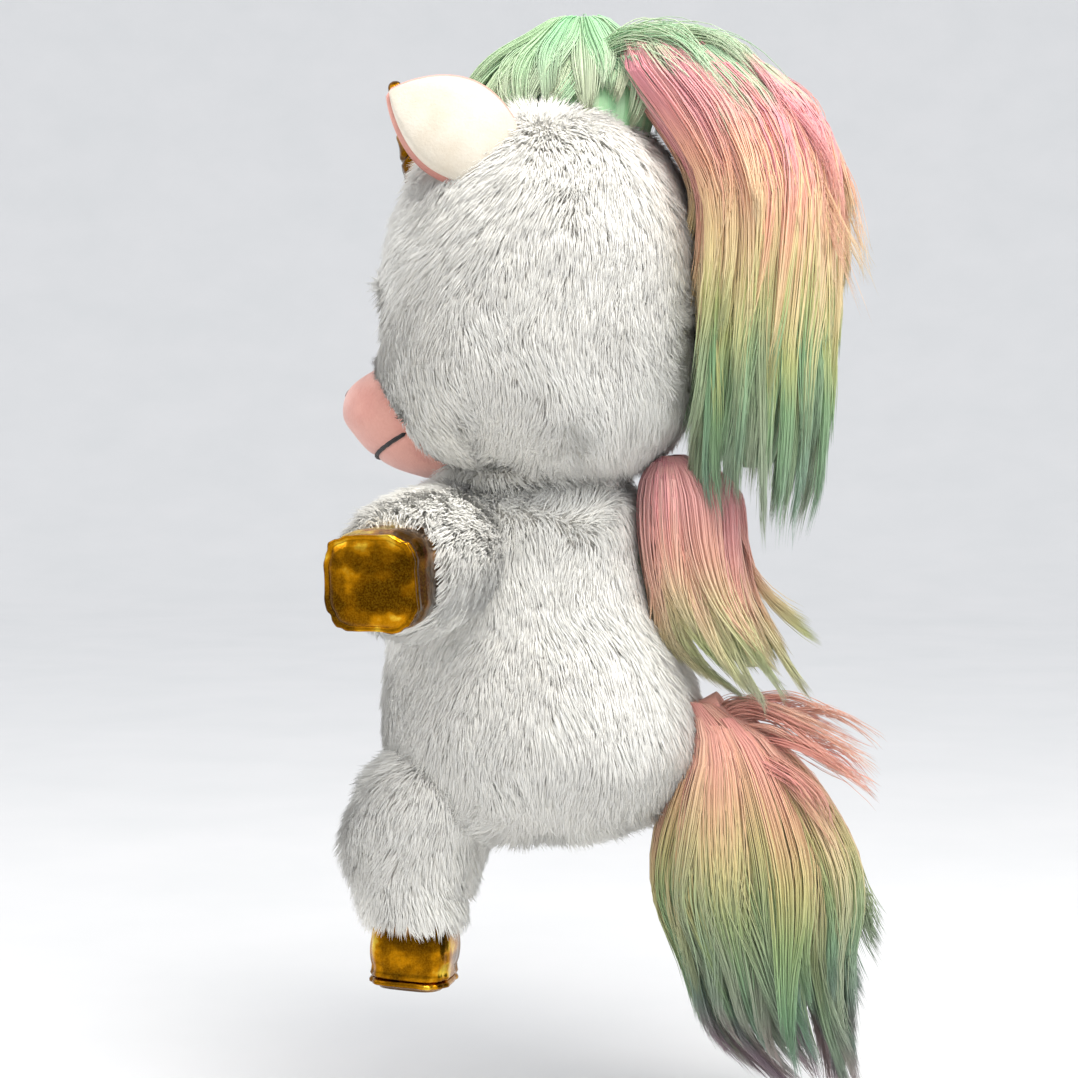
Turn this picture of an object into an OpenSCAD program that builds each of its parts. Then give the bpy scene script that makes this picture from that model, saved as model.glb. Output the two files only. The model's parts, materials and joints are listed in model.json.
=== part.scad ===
// A plush unicorn, upright, perched on its seat with both hind legs hanging.
// It faces -Y, its own left is +X, and the origin is the middle of the flat seat.
// Fur pieces are drawn as the whole thickness of pile and backing.

/* [Head] */
// Height of the head, fur included
head_h = 141; // [132:1:150]
// Half width of the head, ear to ear
head_half_w = 69; // [64:1:74]
// Half depth of the head, face to nape
head_half_d = 57; // [55:1:59]
// Height of the underside of the head above the seat
head_z = 148; // [147:0.5:150]
// Half width of the panel that runs from forehead over the crown to the nape
gusset_half_w = 16; // [12:1:17]
// Thickness of fur pile and backing together
fur_t = 8; // [6:0.5:9]

/* [Face] */
// Half width of the pink muzzle
muzzle_half_w = 36; // [32:1:39]
// Height of the muzzle, chin included
muzzle_h = 49; // [46:1:52]
// Slope of the mouth, rising towards the cheeks
mouth_slope = 26; // [22:1:30]
// Radius of the embroidered mouth line
thread_r = 0.7; // [0.5:0.1:1]
// Radius of each domed eye
eye_r = 8.5; // [7:0.5:10]
// Distance of each eye from the middle of the face
eye_x = 26; // [26:1:29]
// Height of the eyes above the seat
eye_z = 209; // [205:1:214]

/* [Horn and ears] */
// Length of the horn
horn_l = 54; // [46:1:60]
// Radius of the horn at its base
horn_r = 11; // [9:0.5:12]
// Forward lean of the horn
horn_lean = 20; // [14:1:24]
// Length of each ear
ear_l = 60; // [54:1:62]
// Half width of each ear
ear_half_w = 19; // [15:0.5:20]

/* [Body] */
// Height of the body from the seat to the neck
torso_h = 143; // [142:0.5:144]
// Half width of the body at the hips
torso_half_w = 58; // [55:1:60]
// Half depth of the body at the hips
torso_half_d = 59; // [57:1:60]
// Radius of the round panel that the toy sits on
seat_r = 26; // [22:1:27]
// Radius of the ball of stuffing in the neck
neck_r = 15; // [12:1:17]
// Height of the neck's centre above the seat
neck_z = 146; // [145.5:0.25:147]

/* [Arms] */
// Radius of the shoulder end of an arm
arm_r = 25; // [22:0.5:25.5]
// Length from the shoulder's centre to the sole of the hoof
arm_l = 77; // [72:1:84]
// Droop of the arms below level
arm_droop = 6; // [4:1:10]
// Forward swing of the arms from straight out sideways
arm_forward = 4; // [0:1:10]

/* [Legs] */
// Radius of the hip end of a leg
leg_r = 22.5; // [21:0.5:23]
// Length from the hip's centre to the sole of the hoof
leg_l = 69; // [66:1:72]
// Forward swing of the left leg from hanging
left_leg_forward = 0; // [0:1:4]
// Forward swing of the right leg from hanging
right_leg_forward = 21; // [16:1:23]

/* [Hooves] */
// Width across the flats of a front hoof
front_hoof_w = 35; // [33:0.5:36]
// Width across the flats of a hind hoof
hind_hoof_w = 31; // [29:0.5:32]
// Height of a hoof
hoof_l = 28; // [25:1:30]
// Thickness of the hoof fabric and its lining
hoof_t = 2; // [1.5:0.25:2.5]

/* [Hair] */
// Length of the head mane, crown to tips
mane_h = 196; // [188:1:200]
// Length of the tail, root to tips
tail_h = 150; // [140:1:156]
// Height of the crown tuft above the top of the head
tuft_h = 33; // [28:1:36]

/* [Hidden] */

$fn = 48;
gap = 0.4;          // between pieces that move against each other
seam = 0.05;        // between pieces that are sewn together
far = 400;          // larger than the toy, for cutting blocks

white_fur = "ghostwhite";
ear_white = "floralwhite";
blush = "pink";
gold = "goldenrod";
fibre = "whitesmoke";

// Rows of the soft forms: [height share, width share, forward lean in mm]
head_rows = [
    [0, 0.40, 1], [0.015, 0.60, 1], [0.06, 0.78, 1], [0.16, 0.93, 2], [0.30, 1, 3], [0.48, 1, 2],
    [0.65, 0.96, 0], [0.81, 0.84, -1], [0.92, 0.64, -1], [0.98, 0.42, -1], [1, 0.20, -1],
];
torso_rows = [
    [0, 0.50, 1], [0.03, 0.66, 1], [0.07, 0.78, 0], [0.13, 0.90, -1], [0.24, 1, -2], [0.37, 0.99, -1],
    [0.50, 0.92, 2], [0.64, 0.82, 6], [0.80, 0.75, 8], [0.91, 0.67, 8], [0.975, 0.52, 7], [1, 0.32, 6],
];
muzzle_rows = [
    [0, 0.30, -9], [0.08, 0.60, -9], [0.20, 0.80, -7], [0.34, 0.93, -4], [0.52, 1, 0], [0.75, 0.92, 0],
    [0.93, 0.62, -2], [1, 0.30, -4],
];
// Rows of the hair and leg forms, in mm: [height, distance back, half width, half depth]
mane_rows = [
    [0, 92, 16, 10], [0.06, 90, 23, 18], [0.18, 89, 30, 24], [0.40, 89, 35, 28], [0.60, 90, 37, 29],
    [0.76, 85, 36, 31], [0.88, 70, 33, 33], [0.96, 57, 26, 29], [1, 50, 15, 17],
];
neck_mane_rows = [
    [60, 80, 5, 4], [70, 73, 12, 10], [86, 63, 18, 17], [106, 55, 21, 20], [129, 49.5, 17.5, 12.5], [143, 44.5, 10, 6],
];
tail_rows = [
    [0, 112, 7, 6], [0.08, 105, 16, 15], [0.22, 94, 24, 26], [0.36, 88, 29, 36], [0.50, 86, 31, 41],
    [0.64, 84, 29, 38], [0.77, 83, 23, 26], [0.88, 80, 15, 15], [0.95, 77, 10, 10], [1, 73, 6, 5],
];
leg_rows = [
    [-0.82, 2, 17.5, 17], [-0.74, 4, 19.5, 19], [-0.55, 8, 22, 21.5], [-0.34, 10, 23, 23], [-0.15, 5, 22.5, 22.5],
    [0, 0, 21.5, 21.5],
];

head_top = head_z + head_h;
neck_at = [0, -6, neck_z];
shoulder_at = [37, -30, 117];
hip_at = [32, -42, 16];
tail_at = [0, 62, 50];
tail_r = 7;
muzzle_z = 144;
muzzle_y = -55;
muzzle_half_d = 27;
mouth_at = [0, muzzle_y, muzzle_z + 15];
horn_at = [0, -42, head_top - 36];
ear_at = [42, -1, head_top - 27];
ear_bowl_r = 46;
ear_t = 2.5;
ear_gap = 1.5;      // room between an ear and the head, for flapping
eye_at = [eye_x, -head_half_d + 4, eye_z];
eye_turn = 15;
eye_post_r = 2.5;
washer_r = 8;
mane_z = 122;
arm_swings = [-10, 12, 35];             // degrees forward from rest
left_leg_swings = [-8, 18, 44];
right_leg_swings = [-25, 0, 25];
sleeve_end = 0.66;  // share of the arm's length that fur covers
strip_t = 2;        // thickness of a hair strip's woven band

// One row of a smooth curve through rows b and c
function blend(a, b, c, d, f) =
    0.5 * (2 * b + (c - a) * f + (2 * a - 5 * b + 4 * c - d) * f * f + (3 * b - a - 3 * c + d) * f * f * f);

function smooth(rows, steps) = [
    for (i = [0:len(rows) - 2], s = [0:steps - 1])
        blend(rows[max(i - 1, 0)], rows[i], rows[i + 1], rows[min(i + 2, len(rows) - 1)], s / steps),
    rows[len(rows) - 1]
];

function bulge(v, power) = sign(v) * pow(abs(v), 2 / power);

// Points of one level ring; row = [z, y, half width, half depth]
function ring(row, n, power) = [
    for (k = [0:n - 1])
        [row[2] * bulge(cos(360 * k / n), power), row[1] + row[3] * bulge(sin(360 * k / n), power), row[0]]
];

// A closed skin through level rings, lowest first
module loft(rows, n = 28, power = 2.2) {
    points = [for (row = rows) each ring(row, n, power)];
    last = (len(rows) - 1) * n;
    sides = [
        for (r = [0:len(rows) - 2], k = [0:n - 1], half = [0, 1])
            let (a = r * n + k, b = r * n + (k + 1) % n)
                half == 0 ? [a, a + n, b] : [b, a + n, b + n]
    ];
    bottom = [for (k = [0:n - 1]) k];
    top = [for (k = [0:n - 1]) last + n - 1 - k];
    polyhedron(points, concat([bottom], sides, [top]), convexity = 4);
}

// A plump closed form; grow moves its whole surface out, or in when negative
module form(h, half_w, half_d, rows, grow = 0, steps = 2, n = 32, power = 2.3) {
    level = h / 2 + grow;
    full = [
        for (row = smooth(rows, steps))
            [h / 2 + level * (2 * row[0] - 1), -row[2], row[1] * half_w + grow, row[1] * half_d + grow]
    ];
    loft(full, n, power);
}

module head_form(grow = 0) {
    translate([0, 0, head_z]) form(head_h, head_half_w, head_half_d, head_rows, grow);
}

module torso_form(grow = 0) {
    form(torso_h, torso_half_w, torso_half_d, torso_rows, grow);
}

module ball(at, r) {
    translate(at) sphere(r);
}

module on_both_sides() {
    children();
    mirror([1, 0, 0]) children();
}

// ---- Body ----

// Everything near the body that an arm or a leg passes through over its swing
module arm_sweep(room) {
    hull() for (turn = arm_swings)
        translate(shoulder_at) rotate([0, 0, -arm_forward - turn]) rotate([0, 90 + arm_droop, 0])
            translate([0, 0, 2]) cylinder(r = arm_r + 0.5 + room, h = 30);
}

module leg_sweep(forward, swings, room) {
    hull() for (turn = swings) place_leg(forward + turn)
        for (down = [4, 30]) translate([0, -down * 0.38, -down]) cylinder(r = leg_r + 0.6 + room, h = 0.1);
}

// What the body leaves free for the neck, limbs, tail and seat
module torso_openings(room = gap) {
    ball(neck_at, neck_r + room);
    on_both_sides() {
        ball(shoulder_at, arm_r + room);
        ball(hip_at, leg_r + room);
        arm_sweep(room);
    }
    leg_sweep(left_leg_forward, left_leg_swings, room);
    mirror([1, 0, 0]) leg_sweep(right_leg_forward, right_leg_swings, room);
    ball(tail_at, tail_r + room);
    translate([0, 0, -1]) cylinder(r = seat_r + seam, h = fur_t + 1 + seam);
}

module torso_shell() {
    difference() {
        torso_form();
        torso_form(-fur_t);
        torso_openings();
    }
}

module belly_block(room = 0) {
    translate([-22 - room, -far, -far / 2]) cube([44 + 2 * room, far - 20 + room, far]);
}

module torso_side(side) {
    intersection() {
        difference() {
            torso_shell();
            belly_block(seam);
        }
        translate([side > 0 ? seam / 2 : -far - seam / 2, -far / 2, -far / 2]) cube(far);
    }
}

module torso_left_panel() {
    color(white_fur) torso_side(1);
}

module torso_right_panel() {
    color(white_fur) torso_side(-1);
}

module belly_panel() {
    color(white_fur) intersection() {
        torso_shell();
        belly_block();
    }
}

module seat_panel() {
    color(white_fur) cylinder(r = seat_r, h = fur_t);
}

bag_z = 14;
bag_h = 20;
bag_r = 26;
bag_y = 12;

module bag_form(grow = 0) {
    translate([0, bag_y, bag_z + bag_h / 2]) rotate_extrude() hull() {
        translate([bag_r - bag_h / 2, 0]) circle(r = bag_h / 2 + grow, $fn = 32);
        translate([0, -bag_h / 2 - grow]) square([1, bag_h + 2 * grow]);
    }
}

module torso_stuffing() {
    color(fibre) difference() {
        torso_form(-fur_t - seam);
        torso_openings();
        bag_form(seam);
    }
}

module pellet_bag() {
    color("lightgrey") bag_form();
}

module neck_stuffing() {
    color(fibre) ball(neck_at, neck_r);
}

// ---- Head ----

module eye_post(r, l) {
    translate(eye_at) rotate([90, 0, eye_turn]) translate([0, 0, -l]) cylinder(r = r, h = l + 2);
}

module head_shell() {
    difference() {
        head_form();
        head_form(-fur_t);
        ball(neck_at, neck_r + gap);
        on_both_sides() {
            eye_post(eye_post_r + seam, 18);
            eye_seat();
        }
    }
}

module head_side(side) {
    intersection() {
        head_shell();
        translate([side > 0 ? gusset_half_w + seam : -far - gusset_half_w - seam, -far / 2, 0]) cube(far);
    }
}

module head_left_panel() {
    color(white_fur) head_side(1);
}

module head_right_panel() {
    color(white_fur) head_side(-1);
}

module head_gusset() {
    color(white_fur) intersection() {
        head_shell();
        translate([-gusset_half_w, -far / 2, 0]) cube([2 * gusset_half_w, far, far]);
    }
}

module head_stuffing() {
    color(fibre) difference() {
        head_form(-fur_t - seam);
        ball(neck_at, neck_r + gap);
        on_both_sides() {
            eye_post(eye_post_r + seam, 18);
            eye_washer(0.2);
        }
    }
}

// The recess in the fur that an eye sits in
module eye_seat() {
    translate(eye_at) rotate([90, 0, eye_turn]) translate([0, 0, 1 - seam]) cylinder(r = eye_r + seam, h = 14);
}

// A domed eye on a post, which a washer holds from inside
module eye() {
    eye_post(eye_post_r, 16);
    translate(eye_at) rotate([90, 0, eye_turn]) intersection() {
        translate([0, 0, -6]) sphere(eye_r + 3.5);
        translate([0, 0, 1]) cylinder(r = eye_r, h = 12);
    }
}

module eye_washer(room = 0) {
    translate(eye_at) rotate([90, 0, eye_turn]) translate([0, 0, -14 - room]) difference() {
        cylinder(r = washer_r + room, h = 2 + 2 * room);
        translate([0, 0, -1]) cylinder(r = eye_post_r + seam / 2, h = 4);
    }
}

module left_eye() {
    color("black") eye();
}

module right_eye() {
    color("black") mirror([1, 0, 0]) eye();
}

module left_eye_washer() {
    color("dimgrey") eye_washer();
}

module right_eye_washer() {
    color("dimgrey") mirror([1, 0, 0]) eye_washer();
}

module muzzle_form(grow = 0) {
    translate([0, muzzle_y, muzzle_z])
        form(muzzle_h, muzzle_half_w, muzzle_half_d, muzzle_rows, grow, n = 28, power = 2.1);
}

// Everything below the sloping line of the mouth
module below_mouth(room = 0) {
    translate(mouth_at) rotate([mouth_slope, 0, 0]) translate([-far / 2, -far / 2, -far - room]) cube(far);
}

module muzzle() {
    color(blush) difference() {
        muzzle_form();
        head_form(seam);
        below_mouth(-seam);
    }
}

module chin() {
    color(blush) difference() {
        intersection() {
            muzzle_form();
            below_mouth();
        }
        head_form(seam);
    }
}

mouth_half_w = muzzle_half_w * 0.91;    // where the mouth's slope cuts the muzzle
mouth_half_d = muzzle_half_d * 0.69;
mouth_back = 4.5;
mouth_arc = 80;                         // angle of the mouth line to each side of the middle

// A round thread through points of the XY plane
module thread(points, r, n = 8) {
    last = len(points) - 1;
    skin = [
        for (i = [0:last])
            let (way = points[min(i + 1, last)] - points[max(i - 1, 0)], across = [-way[1], way[0]] / norm(way))
                for (k = [0:n - 1])
                    let (out = r * cos(360 * k / n))
                        [points[i][0] + across[0] * out, points[i][1] + across[1] * out, r * sin(360 * k / n)]
    ];
    sides = [
        for (i = [0:last - 1], k = [0:n - 1])
            let (a = i * n + k, b = i * n + (k + 1) % n) [a, b, b + n, a + n]
    ];
    first = [for (k = [0:n - 1]) n - 1 - k];
    end = [for (k = [0:n - 1]) last * n + k];
    polyhedron(skin, concat([first], sides, [end]), convexity = 4);
}

module mouth_thread() {
    path = [
        for (i = [-16:16])
            let (turn = mouth_arc * i / 16)
                [mouth_half_w * bulge(sin(turn), 2.1), mouth_back - mouth_half_d * bulge(cos(turn), 2.1)]
    ];
    color("black") translate(mouth_at) rotate([mouth_slope, 0, 0]) thread(path, thread_r);
}

nostril_at = [7, muzzle_y - muzzle_half_d + 1.3, muzzle_z + 32];
nostril_turn = 10;

module nostril_thread() {
    translate(nostril_at) rotate([90, 0, nostril_turn])
        rotate_extrude(angle = 150) translate([3, 0]) circle(r = thread_r, $fn = 16);
}

module left_nostril_thread() {
    color("dimgrey") nostril_thread();
}

module right_nostril_thread() {
    color("dimgrey") mirror([1, 0, 0]) nostril_thread();
}

// ---- Horn and ears ----

module horn_cone(inset = 0) {
    translate(horn_at) rotate([horn_lean, 0, 0])
        cylinder(r1 = horn_r - inset, r2 = 2.2 - inset / 2, h = horn_l - 2 * inset);
}

module horn() {
    color(gold) difference() {
        horn_cone();
        horn_cone(hoof_t);
        head_form(seam);
    }
}

module horn_stuffing() {
    color(fibre) difference() {
        horn_cone(hoof_t + seam);
        head_form(seam);
    }
}

ear_heading = -157;
ear_rise = 31;
ear_roll = -84;

// Petal outline from the root at the origin to the tip along +Y
function petal(n = 14) = [
    for (side = [1, -1], k = [0:n - 1])
        let (f = side > 0 ? k / n : 1 - k / n)
            [side * ear_half_w * pow(sin(180 * pow(f * 0.86 + 0.14, 1.25)), 0.8), ear_l * f]
];

// A leaf of one cupped layer, between two radii of its bowl
module ear_layer(inner, outer) {
    translate(ear_at) rotate([0, 0, ear_heading]) rotate([ear_rise, 0, 0])
        rotate([0, ear_roll, 0]) intersection() {
            translate([0, 0, -30]) linear_extrude(60) polygon(petal());
            translate([0, ear_l / 2, -ear_bowl_r + 6]) difference() {
                sphere(outer, $fn = 64);
                sphere(inner, $fn = 64);
            }
            translate([-40, -40, -12]) cube([80, 120, 40]);
        }
}

module ear_back() {
    difference() {
        ear_layer(ear_bowl_r, ear_bowl_r + ear_t);
        head_form(ear_gap);
    }
}

module ear_lining() {
    difference() {
        ear_layer(ear_bowl_r - ear_t, ear_bowl_r - seam);
        head_form(ear_gap);
    }
}

module left_ear_back() {
    color(ear_white) ear_back();
}

module left_ear_lining() {
    color(blush) ear_lining();
}

module right_ear_back() {
    color(ear_white) mirror([1, 0, 0]) ear_back();
}

module right_ear_lining() {
    color(blush) mirror([1, 0, 0]) ear_lining();
}

// ---- Hair ----

// Hair rows with their heights given as shares of h
function hair(rows, z, h, steps) = [for (row = smooth(rows, steps)) [z + row[0] * h, row[1], row[2], row[3]]];

tuft_y = 2;

module crown_tuft() {
    color("palegreen") difference() {
        translate([0, tuft_y, head_top - 34])
            form(tuft_h + 34, 24, 38, [[0, 0.7, 0], [0.5, 1, 0], [0.8, 0.8, -4], [0.95, 0.5, -8], [1, 0.25, -9]], n = 24);
        head_form(seam);
        loft(hair(mane_rows, mane_z, mane_h, 2), 28);
        mane_band(0.2);
        horn_cone(-0.3);
    }
}

module head_mane() {
    color("lightpink") difference() {
        loft(hair(mane_rows, mane_z, mane_h, 2), 28);
        head_form(strip_t + 2 * seam);
    }
}

// The woven band that the head's hair hangs from, down the middle of the crown and nape
module mane_band(room = 0) {
    intersection() {
        difference() {
            head_form(strip_t + seam + room);
            head_form(seam);
        }
        translate([-5 - room, 4, 220]) cube([10 + 2 * room, far, far]);
    }
}

module head_mane_strip() {
    color("lightgreen") mane_band();
}

module neck_mane() {
    color("lightpink") difference() {
        loft(smooth(neck_mane_rows, 2), 24);
        torso_form(strip_t + 2 * seam);
    }
}

module neck_mane_strip() {
    color("lightgreen") intersection() {
        difference() {
            torso_form(strip_t + seam);
            torso_form(seam);
        }
        translate([-5, 0, 78]) cube([10, far, 60]);
    }
}

module tail_root(room = 0) {
    ball(tail_at, tail_r + room);
    translate(tail_at) rotate([-60, 0, 0]) cylinder(r = tail_r - 1.5 + room, h = 12 + room);
}

module tail_base() {
    color("lightsalmon") tail_root();
}

module tail_hair() {
    color("lightgreen") difference() {
        loft(hair(tail_rows, tail_at[2] - tail_h, tail_h, 2), 24);
        tail_root(seam);
        torso_form(2);
    }
}

// ---- Limbs ----

module rounded_square(w, corner) {
    square([w - 2 * corner, w], center = true);
    square([w, w - 2 * corner], center = true);
    for (x = [-1, 1], y = [-1, 1]) translate([x, y] * (w / 2 - corner)) circle(corner);
}

// Hoof pieces stand on the sole at the origin, with the limb above them
module hoof_wall(w) {
    difference() {
        translate([0, 0, hoof_t + seam]) linear_extrude(hoof_l - hoof_t) rounded_square(w, w * 0.36);
        linear_extrude(hoof_l + 1) rounded_square(w - 2 * hoof_t, w * 0.36 - hoof_t);
    }
}

module hoof_sole(w) {
    linear_extrude(hoof_t) rounded_square(w, w * 0.36);
}

module hoof_fill(w) {
    translate([0, 0, hoof_t + seam]) linear_extrude(hoof_l - hoof_t)
        rounded_square(w - 2 * hoof_t - 2 * seam, w * 0.36 - hoof_t);
    translate([0, 0, hoof_l - 2]) cylinder(r = w * 0.24, h = 4);
}

// Arm axes: the shoulder's centre at the origin, the hoof up +Z
module place_arm() {
    translate(shoulder_at) rotate([0, 0, -arm_forward]) rotate([0, 90 + arm_droop, 0]) children();
}

module arm_profile(inset = 0) {
    cuff = arm_l * sleeve_end;
    intersection() {
        union() {
            circle(arm_r - inset);
            polygon([
                [0, 0], [arm_r - inset, 0], [arm_r + 0.5 - inset, 16], [arm_r + 0.5 - inset, 32],
                [arm_r - 1.5 - inset, cuff - 4], [arm_r - 6 - inset, cuff], [0, cuff],
            ]);
        }
        translate([0, -far / 2]) square(far);
    }
}

module arm_hoof() {
    translate([0, 0, arm_l]) rotate([180, 0, 0]) children();
}

module arm_sleeve() {
    place_arm() difference() {
        rotate_extrude() arm_profile();
        rotate_extrude() difference() {
            arm_profile(fur_t);
            translate([0, arm_l - hoof_l]) square(far);
        }
        arm_hoof() linear_extrude(hoof_l + seam) rounded_square(front_hoof_w + 2 * seam, front_hoof_w * 0.36);
    }
}

module arm_stuffing() {
    place_arm() {
        rotate_extrude() difference() {
            arm_profile(fur_t + seam);
            translate([0, arm_l - hoof_l - seam]) square(far);
        }
        arm_hoof() hoof_fill(front_hoof_w);
    }
}

module arm_hoof_wall() {
    place_arm() arm_hoof() hoof_wall(front_hoof_w);
}

module arm_sole() {
    place_arm() arm_hoof() hoof_sole(front_hoof_w);
}

module left_arm_sleeve() {
    color(white_fur) arm_sleeve();
}

module left_arm_hoof_wall() {
    color(gold) arm_hoof_wall();
}

module left_arm_sole() {
    color(gold) arm_sole();
}

module left_arm_stuffing() {
    color(fibre) arm_stuffing();
}

module right_arm_sleeve() {
    color(white_fur) mirror([1, 0, 0]) arm_sleeve();
}

module right_arm_hoof_wall() {
    color(gold) mirror([1, 0, 0]) arm_hoof_wall();
}

module right_arm_sole() {
    color(gold) mirror([1, 0, 0]) arm_sole();
}

module right_arm_stuffing() {
    color(fibre) mirror([1, 0, 0]) arm_stuffing();
}

// Leg axes: the hip's centre at the origin, the leg hanging down -Z
module place_leg(forward) {
    translate(hip_at) rotate([-forward, 0, 0]) children();
}

module leg_form(inset = 0) {
    loft([
        for (row = smooth(leg_rows, 2))
            [row[0] * leg_l + (row[0] < -0.8 ? inset : 0), -row[1], row[2] - inset, row[3] - inset]
    ], 24, 2);
    sphere(leg_r - inset);
}

module leg_hoof() {
    translate([0, -3, -leg_l]) children();
}

module leg_sleeve(forward) {
    place_leg(forward) difference() {
        leg_form();
        difference() {
            leg_form(fur_t);
            translate([-far / 2, -far / 2, hoof_l - leg_l - far]) cube(far);
        }
        leg_hoof() linear_extrude(hoof_l + seam) rounded_square(hind_hoof_w + 2 * seam, hind_hoof_w * 0.36);
    }
}

module leg_stuffing(forward) {
    place_leg(forward) {
        difference() {
            leg_form(fur_t + seam);
            translate([-far / 2, -far / 2, hoof_l - leg_l + seam - far]) cube(far);
        }
        leg_hoof() hoof_fill(hind_hoof_w);
    }
}

module leg_hoof_wall(forward) {
    place_leg(forward) leg_hoof() hoof_wall(hind_hoof_w);
}

module leg_sole(forward) {
    place_leg(forward) leg_hoof() hoof_sole(hind_hoof_w);
}

module left_leg_sleeve() {
    color(white_fur) leg_sleeve(left_leg_forward);
}

module left_leg_hoof_wall() {
    color(gold) leg_hoof_wall(left_leg_forward);
}

module left_leg_sole() {
    color(gold) leg_sole(left_leg_forward);
}

module left_leg_stuffing() {
    color(fibre) leg_stuffing(left_leg_forward);
}

module right_leg_sleeve() {
    color(white_fur) mirror([1, 0, 0]) leg_sleeve(right_leg_forward);
}

module right_leg_hoof_wall() {
    color(gold) mirror([1, 0, 0]) leg_hoof_wall(right_leg_forward);
}

module right_leg_sole() {
    color(gold) mirror([1, 0, 0]) leg_sole(right_leg_forward);
}

module right_leg_stuffing() {
    color(fibre) mirror([1, 0, 0]) leg_stuffing(right_leg_forward);
}

torso_left_panel();
torso_right_panel();
belly_panel();
seat_panel();
torso_stuffing();
pellet_bag();
neck_stuffing();
head_left_panel();
head_right_panel();
head_gusset();
head_stuffing();
muzzle();
chin();
mouth_thread();
left_nostril_thread();
right_nostril_thread();
left_eye();
right_eye();
left_eye_washer();
right_eye_washer();
horn();
horn_stuffing();
left_ear_back();
left_ear_lining();
right_ear_back();
right_ear_lining();
crown_tuft();
head_mane();
head_mane_strip();
neck_mane();
neck_mane_strip();
tail_base();
tail_hair();
left_arm_sleeve();
left_arm_hoof_wall();
left_arm_sole();
left_arm_stuffing();
right_arm_sleeve();
right_arm_hoof_wall();
right_arm_sole();
right_arm_stuffing();
left_leg_sleeve();
left_leg_hoof_wall();
left_leg_sole();
left_leg_stuffing();
right_leg_sleeve();
right_leg_hoof_wall();
right_leg_sole();
right_leg_stuffing();
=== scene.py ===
"""The looks of a plush unicorn: fur, hair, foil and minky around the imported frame. Metres, +Z up."""

import json
import math

import bpy
import numpy as np
from mathutils import Matrix, Vector
from mathutils.kdtree import KDTree


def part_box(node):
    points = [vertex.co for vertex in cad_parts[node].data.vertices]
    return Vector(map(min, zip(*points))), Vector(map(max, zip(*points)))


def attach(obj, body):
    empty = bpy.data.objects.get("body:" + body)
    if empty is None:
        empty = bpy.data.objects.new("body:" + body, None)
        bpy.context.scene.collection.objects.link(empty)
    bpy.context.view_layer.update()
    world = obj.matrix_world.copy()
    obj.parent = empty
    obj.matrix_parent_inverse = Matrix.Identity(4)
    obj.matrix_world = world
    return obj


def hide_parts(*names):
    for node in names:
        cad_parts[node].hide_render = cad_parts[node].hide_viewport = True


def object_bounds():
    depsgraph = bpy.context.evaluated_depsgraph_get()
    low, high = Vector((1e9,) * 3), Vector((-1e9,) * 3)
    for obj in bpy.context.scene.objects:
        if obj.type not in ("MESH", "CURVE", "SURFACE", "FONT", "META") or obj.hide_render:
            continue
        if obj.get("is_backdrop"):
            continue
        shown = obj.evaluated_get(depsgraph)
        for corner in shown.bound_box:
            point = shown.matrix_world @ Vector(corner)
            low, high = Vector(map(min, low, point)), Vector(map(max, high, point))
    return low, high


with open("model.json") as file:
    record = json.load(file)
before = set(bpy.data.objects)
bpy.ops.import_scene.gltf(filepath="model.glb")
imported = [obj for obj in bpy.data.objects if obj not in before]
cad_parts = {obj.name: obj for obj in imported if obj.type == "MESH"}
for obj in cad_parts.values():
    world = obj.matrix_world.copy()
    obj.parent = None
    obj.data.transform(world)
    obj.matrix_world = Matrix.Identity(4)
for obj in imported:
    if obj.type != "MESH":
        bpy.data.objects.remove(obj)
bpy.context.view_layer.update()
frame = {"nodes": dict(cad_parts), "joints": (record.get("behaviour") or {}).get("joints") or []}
MM = 0.001
DOWN = np.array([0.0, 0.0, -1.0])
FRONT = np.array([0.0, -1.0, 0.0])
JOINTS = {joint["name"]: joint for joint in frame["joints"]}

# ---------------- driving values

PILE = 10.5 * MM            # length of a white fur fibre
PILE_DEPTH = 3.2 * MM       # backing cloth below the CAD surface
PILE_PER_MM2 = 2.3          # fibres on a square millimetre
PILE_RADIUS = 0.26 * MM
CLUMP = 5.0 * MM            # distance between clumps of fur
HAIR_RADIUS = 0.26 * MM

EYE_OUT = 26.5 * MM         # an eye's middle, out from the head's
EYE_FRONT = -55 * MM
EYE_TURN = math.radians(15)
MOUTH = np.array([0, -55, 159]) * MM
MOUTH_SLOPE = math.radians(26)
HORN_LENGTH = 54 * MM
HORN_LEAN = math.radians(20)
HOOF_HALF = {"arm": 17.5 * MM, "leg": 15.5 * MM}
HOOF_LENGTH = {"arm": 27 * MM, "leg": 26 * MM}
EAR_ROOT = np.array([0.042, 0.0035, 0.262])
EAR_TURN = [math.radians(angle) for angle in (-157, 31, -84)]     # heading, rise, roll
EAR_LENGTH, EAR_HALF, EAR_BOWL = 60 * MM, 19 * MM, 46 * MM        # the bowl is the radius of its hollow
MANE_LOCKS, NECK_LOCKS, TAIL_LOCKS, TUFT_LOCKS = 64, 40, 64, 56
TUFT_HALF = (24, 42, 35)    # the mound on the crown: half sizes, middle and backward lean in millimetres
TUFT_MIDDLE = (4, 284)
TUFT_LEAN = 11
EYE_GAP = 8.9 * MM          # no fur is rooted nearer than these to an eye, the neck or a limb's joint
NECK_GAP = 24 * MM
LIMB_GAP = {"arm": 19 * MM, "leg": 17 * MM}

CAMERA_AZIMUTH = 105
CAMERA_ELEVATION = 3
CAMERA_DISTANCE = 1.05
PICTURE_WIDTH = 0.431       # what the picture spans at the toy's middle
PICTURE_MIDDLE = (-0.0024, 0.120)   # right of the origin, and above it
LIT_HEIGHT = 0.16           # the lamps aim at this height
FLAT_FLOOR = 2.5            # the floor is flat up to this radius

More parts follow.
